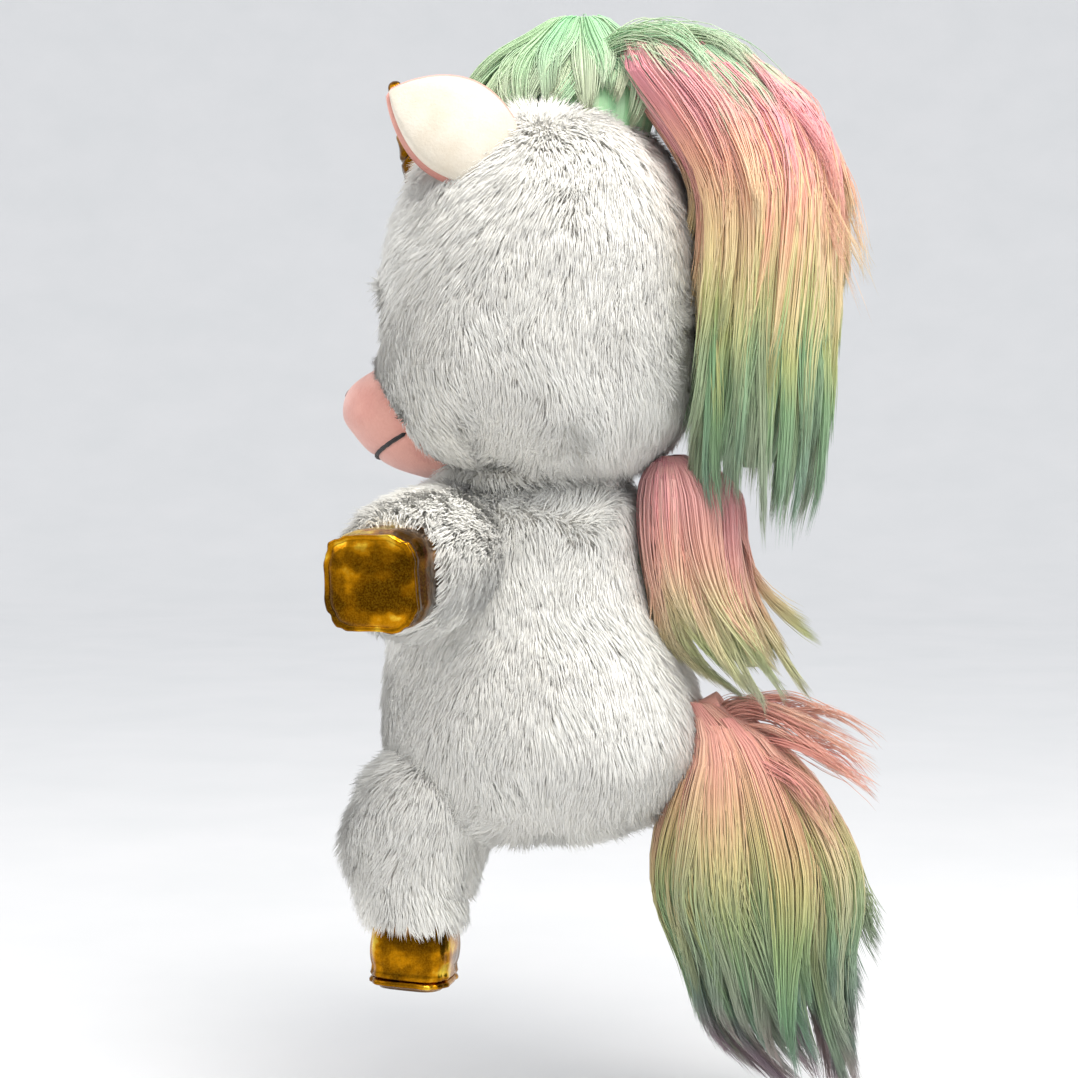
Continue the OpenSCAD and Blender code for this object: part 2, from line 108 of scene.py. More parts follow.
# Rows of the soft forms: height share, width share, forward lean in millimetres
HEAD_ROWS = [
    (0, 0.40, 1), (0.015, 0.60, 1), (0.06, 0.78, 1), (0.16, 0.93, 2), (0.30, 1, 3), (0.48, 1, 2),
    (0.65, 0.96, 0), (0.81, 0.84, -1), (0.92, 0.64, -1), (0.98, 0.42, -1), (1, 0.20, -1),
]
TORSO_ROWS = [
    (0, 0.50, 1), (0.03, 0.66, 1), (0.07, 0.78, 0), (0.13, 0.90, -1), (0.24, 1, -2), (0.37, 0.99, -1),
    (0.50, 0.92, 2), (0.64, 0.83, 6), (0.80, 0.77, 8), (0.91, 0.73, 8), (0.97, 0.66, 7), (1, 0.42, 6),
]
MUZZLE_ROWS = [
    (0, 0.30, -7), (0.08, 0.62, -7), (0.20, 0.82, -5), (0.34, 0.94, -3), (0.52, 1, 0), (0.75, 0.92, 0),
    (0.93, 0.62, -2), (1, 0.30, -4),
]
# Rows along a limb from its joint: share of its length, half width and forward bulge in millimetres
LIMB_ROWS = {
    "arm": [(-0.32, 2, 0), (-0.27, 12, 0), (-0.14, 21, 0), (0.05, 25, 0), (0.25, 25.8, 0), (0.45, 25.2, 0),
            (0.60, 23.5, 0), (0.68, 20.5, 0), (0.70, 6, 0)],
    "leg": [(-0.33, 2, 0), (-0.27, 12, 0), (-0.14, 20, 0), (0, 23, 1.5), (0.15, 23.5, 5), (0.32, 22.5, 5),
            (0.47, 20.5, 3), (0.58, 19.5, 1), (0.645, 17.5, 0.5), (0.66, 6, 0.5)],
}
LIMB_BARE = {"arm": -0.2, "leg": -0.29}     # fur starts here; a leg's root is seen when it swings back
# Rows of hair: height share from the top, distance back, half width, half depth in millimetres
MANE_ROWS = [
    (0, 44, 12, 12), (0.03, 53, 22, 25), (0.10, 66, 31, 31), (0.18, 79, 35, 32), (0.32, 90, 37, 28),
    (0.53, 89, 36, 26.5), (0.63, 87.5, 34, 25), (0.73, 87, 32, 24.5), (0.83, 86, 29, 24), (0.92, 85, 24, 22),
    (1, 84, 16, 17),
]
NECK_ROWS = [
    (0, 52, 4, 5), (0.05, 55, 12, 13), (0.16, 59, 19, 20), (0.38, 61, 21, 21), (0.56, 65, 20, 21),
    (0.74, 74, 17, 20), (0.90, 86, 12, 13), (1, 95, 6, 6),
]
TAIL_ROWS = [
    (0, 64, 7, 7), (0.05, 73, 12, 13), (0.13, 79, 17, 21), (0.23, 82, 23, 31), (0.37, 85, 29, 39),
    (0.50, 86, 30, 39), (0.63, 89, 28, 32), (0.77, 94, 24, 27), (0.87, 101, 18, 21), (0.95, 110, 10, 11),
    (1, 114, 5, 6),
]

# ---------------- small tools


def srgb(red, green, blue):
    """A display colour of 0 to 255 as the linear colour that a shader takes."""
    return tuple(((c / 255 + 0.055) / 1.055) ** 2.4 if c > 10 else c / 255 / 12.92
                 for c in (red, green, blue)) + (1,)


def unit(v):
    return v / np.maximum(np.linalg.norm(v, axis=-1, keepdims=True), 1e-12)


def smooth_rows(rows, shares):
    """Rows at the given shares of the first column, on a Catmull-Rom curve."""
    rows = np.array(rows, float)
    padded = np.vstack([rows[0], rows, rows[-1]])
    at = np.clip(np.searchsorted(rows[:, 0], shares, side="right") - 1, 0, len(rows) - 2)
    a, b, c, d = (padded[at + k] for k in range(4))
    f = ((shares - b[:, 0]) / np.maximum(c[:, 0] - b[:, 0], 1e-9))[:, None]
    return 0.5 * (2 * b + (c - a) * f + (2 * a - 5 * b + 4 * c - d) * f**2 + (3 * b - a - 3 * c + d) * f**3)


def wobble(points, size, seed):
    """A smooth random vector field with features of about size, as a sum of sine waves."""
    rng = np.random.default_rng(seed)
    out = np.zeros_like(points)
    for _ in range(7):
        wave = rng.normal(size=(3, 3)) * 2.2 / size
        out += np.sin(points @ wave + rng.uniform(0, 2 * math.pi, 3))
    return out / 3.2


def node_box(*nodes):
    """The lowest and highest corner of the box round some CAD nodes."""
    boxes = np.array([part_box(node) for node in nodes])
    return boxes[:, 0].min(axis=0), boxes[:, 1].max(axis=0)


def joint_at(name):
    return np.array(JOINTS[name]["pos_m"])


def whole_turn(count):
    """Angles of so many points round a circle."""
    return np.linspace(0, 2 * math.pi, count, endpoint=False)


def circle(turn, side, front):
    """Points of the unit circle that two directions span, at the given angles."""
    return np.cos(turn)[:, None] * side + np.sin(turn)[:, None] * front


def read(items, name, width, kind=np.float32):
    """A value of all of a mesh's items, as an array with width numbers in a row."""
    flat = np.empty(len(items) * width, kind)
    items.foreach_get(name, flat)
    return flat.reshape(-1, width)


def corners(*points):
    """Map points of faces, from a pair of arrays (u, v) for each corner."""
    return np.stack([np.stack(point, -1) for point in points], -2)


def mesh_object(name, verts, faces, uvs=None):
    """An object from arrays; faces is a list of (F, k) index arrays, uvs the matching (F, k, 2) arrays."""
    mesh = bpy.data.meshes.new(name)
    loops = np.concatenate([f.ravel() for f in faces]).astype(np.int32)
    sizes = np.concatenate([np.full(len(f), f.shape[1]) for f in faces])
    mesh.vertices.add(len(verts))
    mesh.vertices.foreach_set("co", np.asarray(verts, np.float32).ravel())
    mesh.loops.add(len(loops))
    mesh.loops.foreach_set("vertex_index", loops)
    mesh.polygons.add(len(sizes))
    starts = np.concatenate([[0], np.cumsum(sizes)[:-1]]).astype(np.int32)
    mesh.polygons.foreach_set("loop_start", starts)
    if uvs is not None:
        flat = np.concatenate([u.reshape(-1, 2) for u in uvs]).astype(np.float32)
        mesh.uv_layers.new(name="OFBake").data.foreach_set("uv", flat.ravel())
    mesh.update(calc_edges=True)
    mesh.polygons.foreach_set("use_smooth", np.full(len(sizes), True))
    obj = bpy.data.objects.new(name, mesh)
    bpy.context.scene.collection.objects.link(obj)
    return obj


def grid_faces(rings, sides):
    """Quads of a grid of rings, whose sides wrap round."""
    r, k = np.meshgrid(np.arange(rings - 1), np.arange(sides), indexing="ij")
    a = r * sides + k
    b = r * sides + (k + 1) % sides
    return np.stack([a, b, b + sides, a + sides], -1).reshape(-1, 4)


def grid_uvs(rings, sides):
    r, k = np.meshgrid(np.arange(rings - 1), np.arange(sides), indexing="ij")
    u0, u1 = k / sides, (k + 1) / sides
    v0, v1 = r / (rings - 1), (r + 1) / (rings - 1)
    return corners((u0, v0), (u1, v0), (u1, v1), (u0, v1)).reshape(-1, 4, 2)


def closed_grid(name, grid):
    """A closed surface through rings of points (R, K, 3), with a point at each end."""
    rings, sides, _ = grid.shape
    centre = grid.mean(axis=(0, 1))
    across, down = np.roll(grid, -1, 1) - np.roll(grid, 1, 1), np.gradient(grid, axis=0)
    if (np.cross(across, down) * (grid - centre)).sum() < 0:
        grid = grid[:, ::-1]
    ends = np.stack([grid[0].mean(0), grid[-1].mean(0)])
    verts = np.concatenate([grid.reshape(-1, 3), ends])
    k = np.arange(sides)
    nxt = (k + 1) % sides
    low = np.stack([np.full(sides, rings * sides), nxt, k], -1)
    top = (rings - 1) * sides
    high = np.stack([np.full(sides, rings * sides + 1), top + k, top + nxt], -1)
    rim = 0 * k + 0.004
    cap = corners(((k + 0.5) / sides, 0 * k), ((k + 1) / sides, rim), (k / sides, rim))
    cap_high = cap[:, [0, 2, 1]]
    cap_high[..., 1] = 1 - cap_high[..., 1]
    faces = [grid_faces(rings, sides), low, high]
    return mesh_object(name, verts, faces, [grid_uvs(rings, sides), cap, cap_high])


def superellipse(angles, power):
    c, s = np.cos(angles), np.sin(angles)
    return np.stack([np.sign(c) * np.abs(c) ** (2 / power), np.sign(s) * np.abs(s) ** (2 / power)], -1)


def form_grid(rows, low, high, inset, power=2.3, rings=44, sides=72):
    """Rings of a plump form that fills the box from low to high, less inset all over."""
    spread = 0.5 - 0.5 * np.cos(np.linspace(0, math.pi, rings))
    row = smooth_rows(rows, spread)
    half = (high - low) / 2 - inset
    middle = (high + low) / 2
    turn = superellipse(whole_turn(sides), power)
    lean = row[:, 2] - np.mean([r[2] for r in rows if r[1] > 0.9])
    shrink = row[:, 1:2]
    x = middle[0] + turn[None, :, 0] * shrink * half[0]
    y = middle[1] - lean[:, None] * MM + turn[None, :, 1] * shrink * half[1]
    z = np.broadcast_to((middle[2] + (2 * row[:, 0] - 1) * half[2])[:, None], x.shape)
    return np.stack([x, y, z], -1)


def limb_grid(rows, start, end, inset, rings=36, sides=40):
    """Rings of a limb from its joint at start towards end; its rows bulge forwards."""
    axis = unit(end - start)
    length = np.linalg.norm(end - start)
    side = unit(np.cross(axis, FRONT))
    front = np.cross(side, axis)
    first, last = rows[0][0], rows[-1][0]
    shares = first + (last - first) * (0.5 - 0.5 * np.cos(np.linspace(0, math.pi, rings)))
    row = smooth_rows(rows, shares)
    centre = start + axis * (row[:, :1] * length) + front * (row[:, 2:3] * MM)
    radius = np.maximum(row[:, 1] * MM - inset, 0.6 * MM)
    return centre[:, None] + radius[:, None, None] * circle(whole_turn(sides), side, front)[None]


def finish_piece(obj, body, material, slot, *nodes, fill=None):
    """Paint a piece, put it on its body and hide the nodes it stands for; fill is not used."""
    obj.data.materials.clear()
    obj.data.materials.append(material)
    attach(obj, body)
    if nodes:
        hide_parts(*nodes)
    return obj


def finish_part(obj, part, body, material, slot, node):
    """The same for a numbered part of a coat or bundle: the first one stands for the node."""
    finish_piece(obj, body, material, slot, *([node] if node and part == 0 else []))


# ---------------- materials


class Shader:
    """A Principled material whose nodes are added one call at a time."""

    def __init__(self, name, **values):
        self.material = bpy.data.materials.new(name)
        self.material.use_nodes = True
        self.nodes = self.material.node_tree.nodes
        self.links = self.material.node_tree.links
        self.bsdf = self.nodes["Principled BSDF"]
        for key, value in values.items():
            self.bsdf.inputs[key.replace("_", " ")].default_value = value

    def feed(self, sockets, values):
        """Link each socket to a node's output, or give it a fixed value."""
        for socket, value in zip(sockets, values):
            if isinstance(value, bpy.types.NodeSocket):
                self.links.new(value, socket)
            else:
                socket.default_value = value

    def add(self, kind, **inputs):
        node = self.nodes.new("ShaderNode" + kind)
        self.feed([node.inputs[key.replace("_", " ")] for key in inputs], inputs.values())
        return node

    def scaled(self, vector, scale):
        return self.add("Mapping", Vector=vector, Scale=scale).outputs[0]

    def coords(self, scale=(1, 1, 1)):
        return self.scaled(self.add("TexCoord").outputs["Object"], scale)

    def noise(self, vector, scale, detail=3.0, roughness=0.55):
        node = self.add("TexNoise", Vector=vector, Scale=scale, Detail=detail, Roughness=roughness)
        return node.outputs["Fac"]

    def ramp(self, value, stops):
        node = self.add("ValToRGB", Fac=value)
        elements = node.color_ramp.elements
        while len(elements) < len(stops):
            elements.new(0.5)
        for element, (place, colour) in zip(elements, stops):
            element.position = place
            element.color = colour
        return node.outputs[0]

    def mix(self, fac, a, b, blend="MIX"):
        node = self.nodes.new("ShaderNodeMix")
        node.data_type = "RGBA"
        node.blend_type = blend
        self.feed((node.inputs[0], node.inputs[6], node.inputs[7]), (fac, a, b))
        return node.outputs[2]

    def math(self, operation, a, b=0.0, c=0.0):
        node = self.nodes.new("ShaderNodeMath")
        node.operation = operation
        self.feed(node.inputs, (a, b, c))
        return node.outputs[0]

    def remap(self, value, low, high):
        return self.add("MapRange", Value=value, To_Min=low, To_Max=high).outputs[0]

    def set(self, name, socket):
        self.links.new(socket, self.bsdf.inputs[name])

    def bump(self, height, strength, distance):
        self.set("Normal", self.add("Bump", Height=height, Strength=strength, Distance=distance).outputs[0])


def fibre_uv(shader):
    """The fibres' own map, place across the fibres, and place along a fibre."""
    node = shader.nodes.new("ShaderNodeUVMap")
    node.uv_map = "OFBake"
    split = shader.add("SeparateXYZ", Vector=node.outputs[0])
    return node.outputs[0], split.outputs[0], split.outputs[1]


def stops(*rows):
    """A colour ramp's stops, from rows of place, red, green and blue."""
    return [(place, srgb(*colour)) for place, *colour in rows]


def fur_material():
    s = Shader("white_fur", Roughness=0.9, Sheen_Weight=0.25, Sheen_Roughness=0.5, Specular_IOR_Level=0.2)
    uv, _, along = fibre_uv(s)
    tint = s.noise(s.scaled(uv, (220, 1.5, 1)), 1.0, 2.0)
    # the fibres are darker towards their roots: painted shade deep in the pile
    base = s.ramp(along, stops((0.0, 246, 244, 238), (0.35, 252, 251, 247), (1.0, 255, 255, 252)))
    varied = s.ramp(tint, stops((0.3, 250, 246, 236), (0.55, 255, 254, 250), (0.8, 252, 253, 255)))
    s.set("Base Color", s.mix(0.7, base, varied, "MULTIPLY"))
    s.set("Roughness", s.remap(tint, 0.75, 0.97))
    s.bump(s.noise(s.scaled(uv, (900, 12, 1)), 1.0), 0.2, 0.0002)
    return s.material


def hair_material(name, colours, locks, spread=0.09):
    """Dyed silky hair: colours by place along a lock; every lock has its own shift, tone and strength."""
    s = Shader(name, Roughness=0.38, Sheen_Weight=0.12, Sheen_Roughness=0.4, Specular_IOR_Level=0.4)
    uv, across, along = fibre_uv(s)
    number = s.math("FLOOR", s.math("MULTIPLY", across, float(locks)))
    seeds = [s.add("CombineXYZ", X=number, Y=place).outputs[0] for place in (0.37, 7.91)]
    first, second = (s.add("TexWhiteNoise", Vector=seed).outputs["Value"] for seed in seeds)
    fine = s.noise(s.scaled(uv, (locks * 9.0, 2.2, 1)), 1.0, 2.0)
    slow = s.noise(s.scaled(uv, (locks * 2.0, 5.0, 1)), 1.0, 1.0)
    shift = s.math("MULTIPLY_ADD", first, 2 * spread, -spread)
    place = s.math("ADD", s.math("ADD", along, shift), s.math("MULTIPLY_ADD", fine, spread, -spread / 2))
    colour = s.ramp(place, stops(*colours))
    pale = s.mix(s.math("MULTIPLY", second, 0.30), colour, srgb(250, 226, 200))
    light = s.ramp(fine, [(0.25, (0.80, 0.78, 0.77, 1)), (0.5, (0.96, 0.96, 0.96, 1)), (0.75, (1, 1, 1, 1))])
    toned = s.mix(1.0, pale, light, "MULTIPLY")
    s.set("Base Color", s.mix(s.math("MULTIPLY", slow, 0.10), toned, srgb(120, 112, 100)))
    s.set("Roughness", s.remap(fine, 0.28, 0.5))
    s.bump(s.noise(s.scaled(uv, (locks * 40.0, 5, 1)), 1.0), 0.3, 0.0002)
    return s.material


def minky_material(name, colour, shade):
    """Short plush with a fine nap in soft patches."""
    s = Shader(name, Roughness=0.9, Sheen_Weight=0.5, Sheen_Roughness=0.45, Specular_IOR_Level=0.2)
    where = s.coords()
    nap = s.noise(where, 900, 4.0, 0.65)
    patch = s.noise(where, 60, 3.0)
    mixed = s.ramp(patch, [(0.3, shade), (0.6, colour)])
    s.set("Base Color", s.mix(0.3, mixed, s.ramp(nap, [(0.3, shade), (0.65, colour)])))
    s.set("Roughness", s.remap(nap, 0.8, 0.98))
    s.bump(s.math("ADD", nap, s.math("MULTIPLY", patch, 0.6)), 0.45, 0.0006)
    return s.material


def foil_material():
    """Gold foil on a knitted backing: satin and softly creased, its colour painted with reflections: darker
    in its folds, painted highlights on its crests.
    """
    s = Shader("gold_foil", Metallic=1.0, Roughness=0.22)
    where = s.coords()
    fold = s.noise(s.coords((1, 0.6, 1.3)), 34, 2.0, 0.5)
    crease = s.noise(where, 130, 3.0, 0.5)
    grain = s.noise(where, 1500, 2.0, 0.5)
    both = s.math("MULTIPLY_ADD", crease, 0.35, s.math("MULTIPLY", fold, 0.65))
    # painted reflections: the colour runs from dark brown in the folds to pale gold on the crests, standing
    # in for dark surroundings and highlights reflected in the foil
    gold = stops((0.40, 62, 36, 1), (0.48, 118, 74, 2), (0.54, 186, 124, 8), (0.61, 252, 216, 72))
    painted_reflections = s.ramp(both, gold)
    specks = s.ramp(grain, stops((0.4, 110, 66, 2), (0.65, 215, 160, 40)))
    s.set("Base Color", s.mix(0.15, painted_reflections, specks))
    rubbed = s.math("MULTIPLY_ADD", grain, 0.4, s.math("MULTIPLY", crease, 0.6))
    s.set("Roughness", s.remap(rubbed, 0.10, 0.28))
    height = s.math("MULTIPLY_ADD", crease, 0.35, fold)
    s.bump(s.math("MULTIPLY_ADD", grain, 0.02, height), 0.5, 0.0030)
    return s.material


def cloth_material(name, light, dark, scale=700):
    """A plain woven or fibrous cloth."""
    s = Shader(name, Roughness=0.9, Sheen_Weight=0.2)
    where = s.coords()
    wave = s.add("TexWave", Vector=where, Scale=scale, Distortion=1.5, Detail=2.0)
    fuzz = s.noise(where, 500, 4.0)
    weave = s.math("MULTIPLY", wave.outputs["Fac"], 0.6)
    s.set("Base Color", s.mix(weave, light, s.ramp(fuzz, [(0.3, dark), (0.7, light)])))
    s.set("Roughness", s.remap(fuzz, 0.8, 0.98))
    s.bump(s.math("ADD", wave.outputs["Fac"], fuzz), 0.4, 0.0004)
    return s.material


def plastic_material(name, dark, light, rough_low, rough_high):
    """Moulded plastic with a faint cloud in its colour and gloss."""
    s = Shader(name, Roughness=rough_low, Specular_IOR_Level=0.5)
    where = s.coords()
    cloud = s.noise(where, 160, 3.0)
    s.set("Base Color", s.ramp(cloud, [(0.35, dark), (0.75, light)]))
    s.set("Roughness", s.remap(s.noise(where, 1400, 2.0), rough_low, rough_high))
    s.bump(cloud, 0.05, 0.0003)
    return s.material


FUR = fur_material()
BACKING = cloth_material("fur_backing", srgb(240, 236, 228), srgb(214, 208, 198))
EAR_WHITE = minky_material("ear_minky", srgb(218, 211, 198), srgb(204, 193, 175))
PINK = minky_material("pink_minky", srgb(226, 168, 154), srgb(206, 142, 130))
FOIL = foil_material()
FIBREFILL = cloth_material("fibrefill", srgb(245, 245, 243), srgb(220, 220, 220), 300)
PELLET_CLOTH = cloth_material("pellet_cloth", srgb(205, 205, 205), srgb(170, 170, 172), 900)
BAND = cloth_material("hair_band", srgb(190, 220, 190), srgb(150, 190, 155), 1200)
TAIL_CLOTH = cloth_material("tail_cloth", srgb(240, 176, 160), srgb(216, 146, 136), 900)
BLACK_THREAD = cloth_material("black_thread", srgb(30, 28, 30), srgb(8, 8, 10), 2500)
NOSTRIL_THREAD = cloth_material("nostril_thread", srgb(150, 100, 100), srgb(110, 66, 68), 2500)
EYE_BLACK = plastic_material("eye_plastic", srgb(10, 8, 10), srgb(26, 20, 22), 0.04, 0.10)
WASHER = plastic_material("washer_plastic", srgb(205, 205, 200), srgb(225, 225, 222), 0.35, 0.5)

MANE_DYE = hair_material("mane_dye", [
    (0.0, 172, 214, 176), (0.06, 196, 212, 178), (0.11, 246, 160, 176), (0.20, 248, 164, 168),
    (0.31, 255, 188, 158), (0.41, 255, 218, 168), (0.50, 252, 232, 172), (0.60, 208, 218, 142),
    (0.70, 146, 192, 138), (0.97, 146, 188, 160)], MANE_LOCKS)
NECK_DYE = hair_material("neck_dye", [
    (0.0, 238, 160, 172), (0.3, 246, 172, 170), (0.48, 248, 186, 162), (0.64, 240, 216, 168),
    (0.82, 212, 222, 160), (1.0, 206, 222, 184)], NECK_LOCKS)
# the tail's dye colours, darkened towards its lower end partly with painted shade, as under light from above
TAIL_DYE_AND_SHADE = hair_material("tail_dye_and_shade", [
    (0.0, 244, 164, 156), (0.13, 242, 176, 156), (0.26, 236, 192, 148), (0.39, 216, 206, 140),
    (0.52, 158, 184, 122), (0.66, 124, 170, 128), (0.80, 120, 158, 140), (0.93, 150, 128, 144)], TAIL_LOCKS)
TUFT_DYE = hair_material("tuft_dye", [
    (0.0, 150, 214, 160), (0.5, 172, 222, 176), (1.0, 200, 222, 190)], TUFT_LOCKS, 0.3)

# ---------------- fur


def scatter(obj, seed):
    """Random points all over a mesh, with its smooth normals there."""
    mesh = obj.data
    mesh.calc_loop_triangles()
    co = read(mesh.vertices, "co", 3).astype(float)
    normals = read(mesh.vertices, "normal", 3).astype(float)
    tri = read(mesh.loop_triangles, "vertices", 3, np.int32)
    cross = np.cross(co[tri[:, 1]] - co[tri[:, 0]], co[tri[:, 2]] - co[tri[:, 0]])
    area = np.linalg.norm(cross, axis=1) / 2
    rng = np.random.default_rng(seed)
    count = int(area.sum() / MM**2 * PILE_PER_MM2)
    pick = rng.choice(len(tri), count, p=area / area.sum())
    a, b = rng.random((2, count, 1))
    flip = a + b > 1
    a, b = np.where(flip, 1 - a, a), np.where(flip, 1 - b, b)
    t = tri[pick]
    points = co[t[:, 0]] * (1 - a - b) + co[t[:, 1]] * a + co[t[:, 2]] * b
    normal = unit(normals[t[:, 0]] * (1 - a - b) + normals[t[:, 1]] * a + normals[t[:, 2]] * b)
    return points, normal


def clump_of(points, rng):
    """For each point, the index of the point that leads its clump."""
    count = max(1, int(len(points) / max(1.0, PILE_PER_MM2 * (CLUMP / MM) ** 2)))
    leaders = rng.choice(len(points), count, replace=False)
    tree = KDTree(count)
    for i, leader in enumerate(leaders):
        tree.insert(points[leader], i)
    tree.balance()
    return leaders[np.array([tree.find(p)[1] for p in points])]


def strands(name, paths, radii, across, along, sides=3, width=0.003, lit=None):
    """Tapered fibres along paths (N, R, 3), with radii (N, R). Their roots are open and buried.

    across (N,) and along (N, R) are their places on the map. lit (N, 3) is the way that each one's shading
    faces for the most part, as light scatters in a deep pile.
    """
    count, rings, _ = paths.shape
    tangent = unit(np.gradient(paths, axis=1))
    steep = np.abs(tangent[:, 0, 2:3]) > 0.8
    side = np.empty_like(tangent)
    carried = np.cross(tangent[:, 0], np.where(steep, np.array([1.0, 0, 0]), np.array([0, 0, 1.0])))
    for i in range(rings):
        carried = unit(carried - tangent[:, i] * np.sum(carried * tangent[:, i], 1, keepdims=True))
        side[:, i] = carried
    turn = whole_turn(sides)[None, None, :, None]
    ring = np.cos(turn) * side[:, :, None] + np.sin(turn) * np.cross(tangent, side)[:, :, None]
    body = paths[:, :-1, None] + ring[:, :-1] * radii[:, :-1, None, None]
    verts = np.concatenate([body.reshape(count, -1, 3), paths[:, -1:]], 1)
    per = (rings - 1) * sides + 1
    start = (np.arange(count) * per)[:, None, None]
    quads = (start + grid_faces(rings - 1, sides)[None]).reshape(-1, 4)
    k = np.arange(sides)
    last = (rings - 2) * sides
    tips = start + np.stack([last + k, last + (k + 1) % sides, np.full(sides, per - 1)], -1)[None]
    r, s = (g.ravel() for g in np.meshgrid(np.arange(rings - 2), k, indexing="ij"))
    base = across[:, None]
    u0, u1 = base + s / sides * width, base + (s + 1) / sides * width
    v0, v1 = along[:, r], along[:, r + 1]
    w0, w1 = base + k / sides * width, base + (k + 1) / sides * width
    x0, x1 = (np.broadcast_to(along[:, i:i + 1], w0.shape) for i in (rings - 2, rings - 1))
    uvs = [corners((u0, v0), (u1, v0), (u1, v1), (u0, v1)), corners((w0, x0), (w1, x0), ((w0 + w1) / 2, x1))]
    obj = mesh_object(name, verts.reshape(-1, 3), [quads, tips.reshape(-1, 3)], uvs)
    if lit is not None:
        ring = np.concatenate([ring[:, :-1].reshape(count, -1, 3), tangent[:, -1:]], 1)
        facing = unit(lit[:, None] + ring * 0.24).astype(np.float32)
        shading = obj.data.attributes.new("custom_normal", "FLOAT_VECTOR", "POINT")
        shading.data.foreach_set("vector", facing.ravel())
    return obj


def pile(name, points, normals, comb, seed, length=PILE, lie=1.2):
    """Fur on the given points: each fibre leans with the comb, bends over, and gathers towards its clump."""
    rng = np.random.default_rng(seed)
    count = len(points)
    leader = clump_of(points, rng)
    flow = comb + (wobble(points, 55 * MM, 11) * 0.40 + wobble(points, 20 * MM, 12) * 0.34)
    flow = flow - normals * np.sum(flow * normals, 1, keepdims=True)
    own = rng.normal(size=points.shape) * 0.11
    clump_lean = (rng.normal(size=points.shape) * 0.09)[leader]
    first = unit(normals + flow * lie * 0.6 + own + clump_lean)
    second = unit(normals * 0.38 + flow * (lie + 0.2) + own + clump_lean)
    size = length * (0.7 + 0.45 * rng.random((count, 1))) * (0.92 + 0.16 * rng.random(count))[leader][:, None]
    root = points - normals * 0.6 * MM
    middle = root + first * size * 0.45
    tip = middle + second * size * 0.55
    tip += (tip[leader] - tip) * 0.12
    thick = PILE_RADIUS * (0.75 + 0.5 * rng.random(count))
    radii = np.stack([thick, thick * 0.85, thick * 0], 1)
    along = np.broadcast_to(np.array([0.0, 0.5, 1.0]), (count, 3))
    facing = unit(normals + (unit(tip - points[leader]) - normals) * 0.18)
    return strands(name, np.stack([root, middle, tip], 1), radii, rng.random(count) * 0.99, along, lit=facing)


def part_name(name, part, parts):
    return f"{name}_{part + 1}" if parts > 1 else name


def coat(name, skin, where, seed, body, node, parts=1, **style):
    """Fur on part of a skin (points, normals, comb), in pieces of a handy size that lie from low to high."""
    points, normals, comb = (values[where] for values in skin)
    for part, chosen in enumerate(np.array_split(np.argsort(points[:, 2]), parts)):
        obj = pile(part_name(name, part, parts), points[chosen], normals[chosen], comb[chosen],
                   seed + 100 * part, **style)
        finish_part(obj, part, body, FUR, "white_fur", node)


def away_from(points, centre, radius):
    return np.linalg.norm(points - np.array(centre), axis=1) > radius


# ---------------- stuffed forms


def stuffed(name, grid, body, node):
    """The padded form under the fur."""
    return finish_piece(closed_grid(name, grid), body, BACKING, "stuffing", node, fill=0.8)


NECK = joint_at("head_turn")
SIDES = (("left", 1), ("right", -1))

head_low, head_high = node_box("head_left_panel", "head_right_panel", "head_gusset")
torso_low, torso_high = node_box("torso_left_panel", "torso_right_panel", "belly_panel", "seat_panel")
muzzle_low, muzzle_high = node_box("muzzle", "chin")
gusset_half = node_box("head_gusset")[1][0]
head_high[1] += 5 * MM      # pile stands fuller on the nape and the face, and on the belly
head_low[1] -= 2.5 * MM
torso_low[1] -= 7 * MM
torso_low[2] += 3.5 * MM    # and lies flat under the seat

head_grid = form_grid(HEAD_ROWS, head_low, head_high, PILE_DEPTH)
head_form = stuffed("head_form", head_grid, "head", "head_stuffing")
torso_grid = form_grid(TORSO_ROWS, torso_low, torso_high, PILE_DEPTH)
torso_form = stuffed("torso_form", torso_grid, "torso", "torso_stuffing")


def head_fur():
    """Fur on the head, clear of the muzzle and the neck, and parted round the eyes."""
    points, normals = scatter(head_form, 21)
    middle = (muzzle_low + muzzle_high) / 2
    half = (muzzle_high - muzzle_low) / 2
    inside = ((points - middle) / (half * np.array([0.90, 3, 0.84]))) ** 2
    from_muzzle = inside[:, 0] + inside[:, 2] - 1
    keep = (inside[:, 0] + inside[:, 2] > 1) | (points[:, 1] > 0)
    comb = DOWN + parting_over_muzzle(points, from_muzzle, middle[2])
    for side, sign in SIDES:
        low, high = node_box(side + "_eye")
        eye = np.array([EYE_OUT * sign, low[1] + 5 * MM, (low[2] + high[2]) / 2])
        keep &= away_from(points, eye, EYE_GAP)
        off = points - eye
        comb = comb + unit(off) * np.exp(-(np.linalg.norm(off, axis=1, keepdims=True) / (15 * MM)) ** 4) * 3
    keep &= away_from(points, NECK, NECK_GAP)
    panels = (("left", points[:, 0] > gusset_half, "head_left_panel"),
              ("right", points[:, 0] < -gusset_half, "head_right_panel"),
              ("gusset", np.abs(points[:, 0]) <= gusset_half, "head_gusset"))
    for i, (name, where, node) in enumerate(panels):
        coat(f"head_{name}_pile", (points, normals, comb), keep & where, 31 + i, "head", node, 2)


def parting_over_muzzle(points, from_muzzle, muzzle_middle):
    """Over the muzzle the fur goes to both sides and up."""
    near = np.exp(-np.clip(from_muzzle, 0, 9) / 0.8) * (points[:, 1] < 0)
    way = np.zeros_like(points)
    way[:, 0] = np.sign(points[:, 0]) * near * 0.9
    way[:, 2] = near * (points[:, 2] > muzzle_middle) * 1.3
    return way


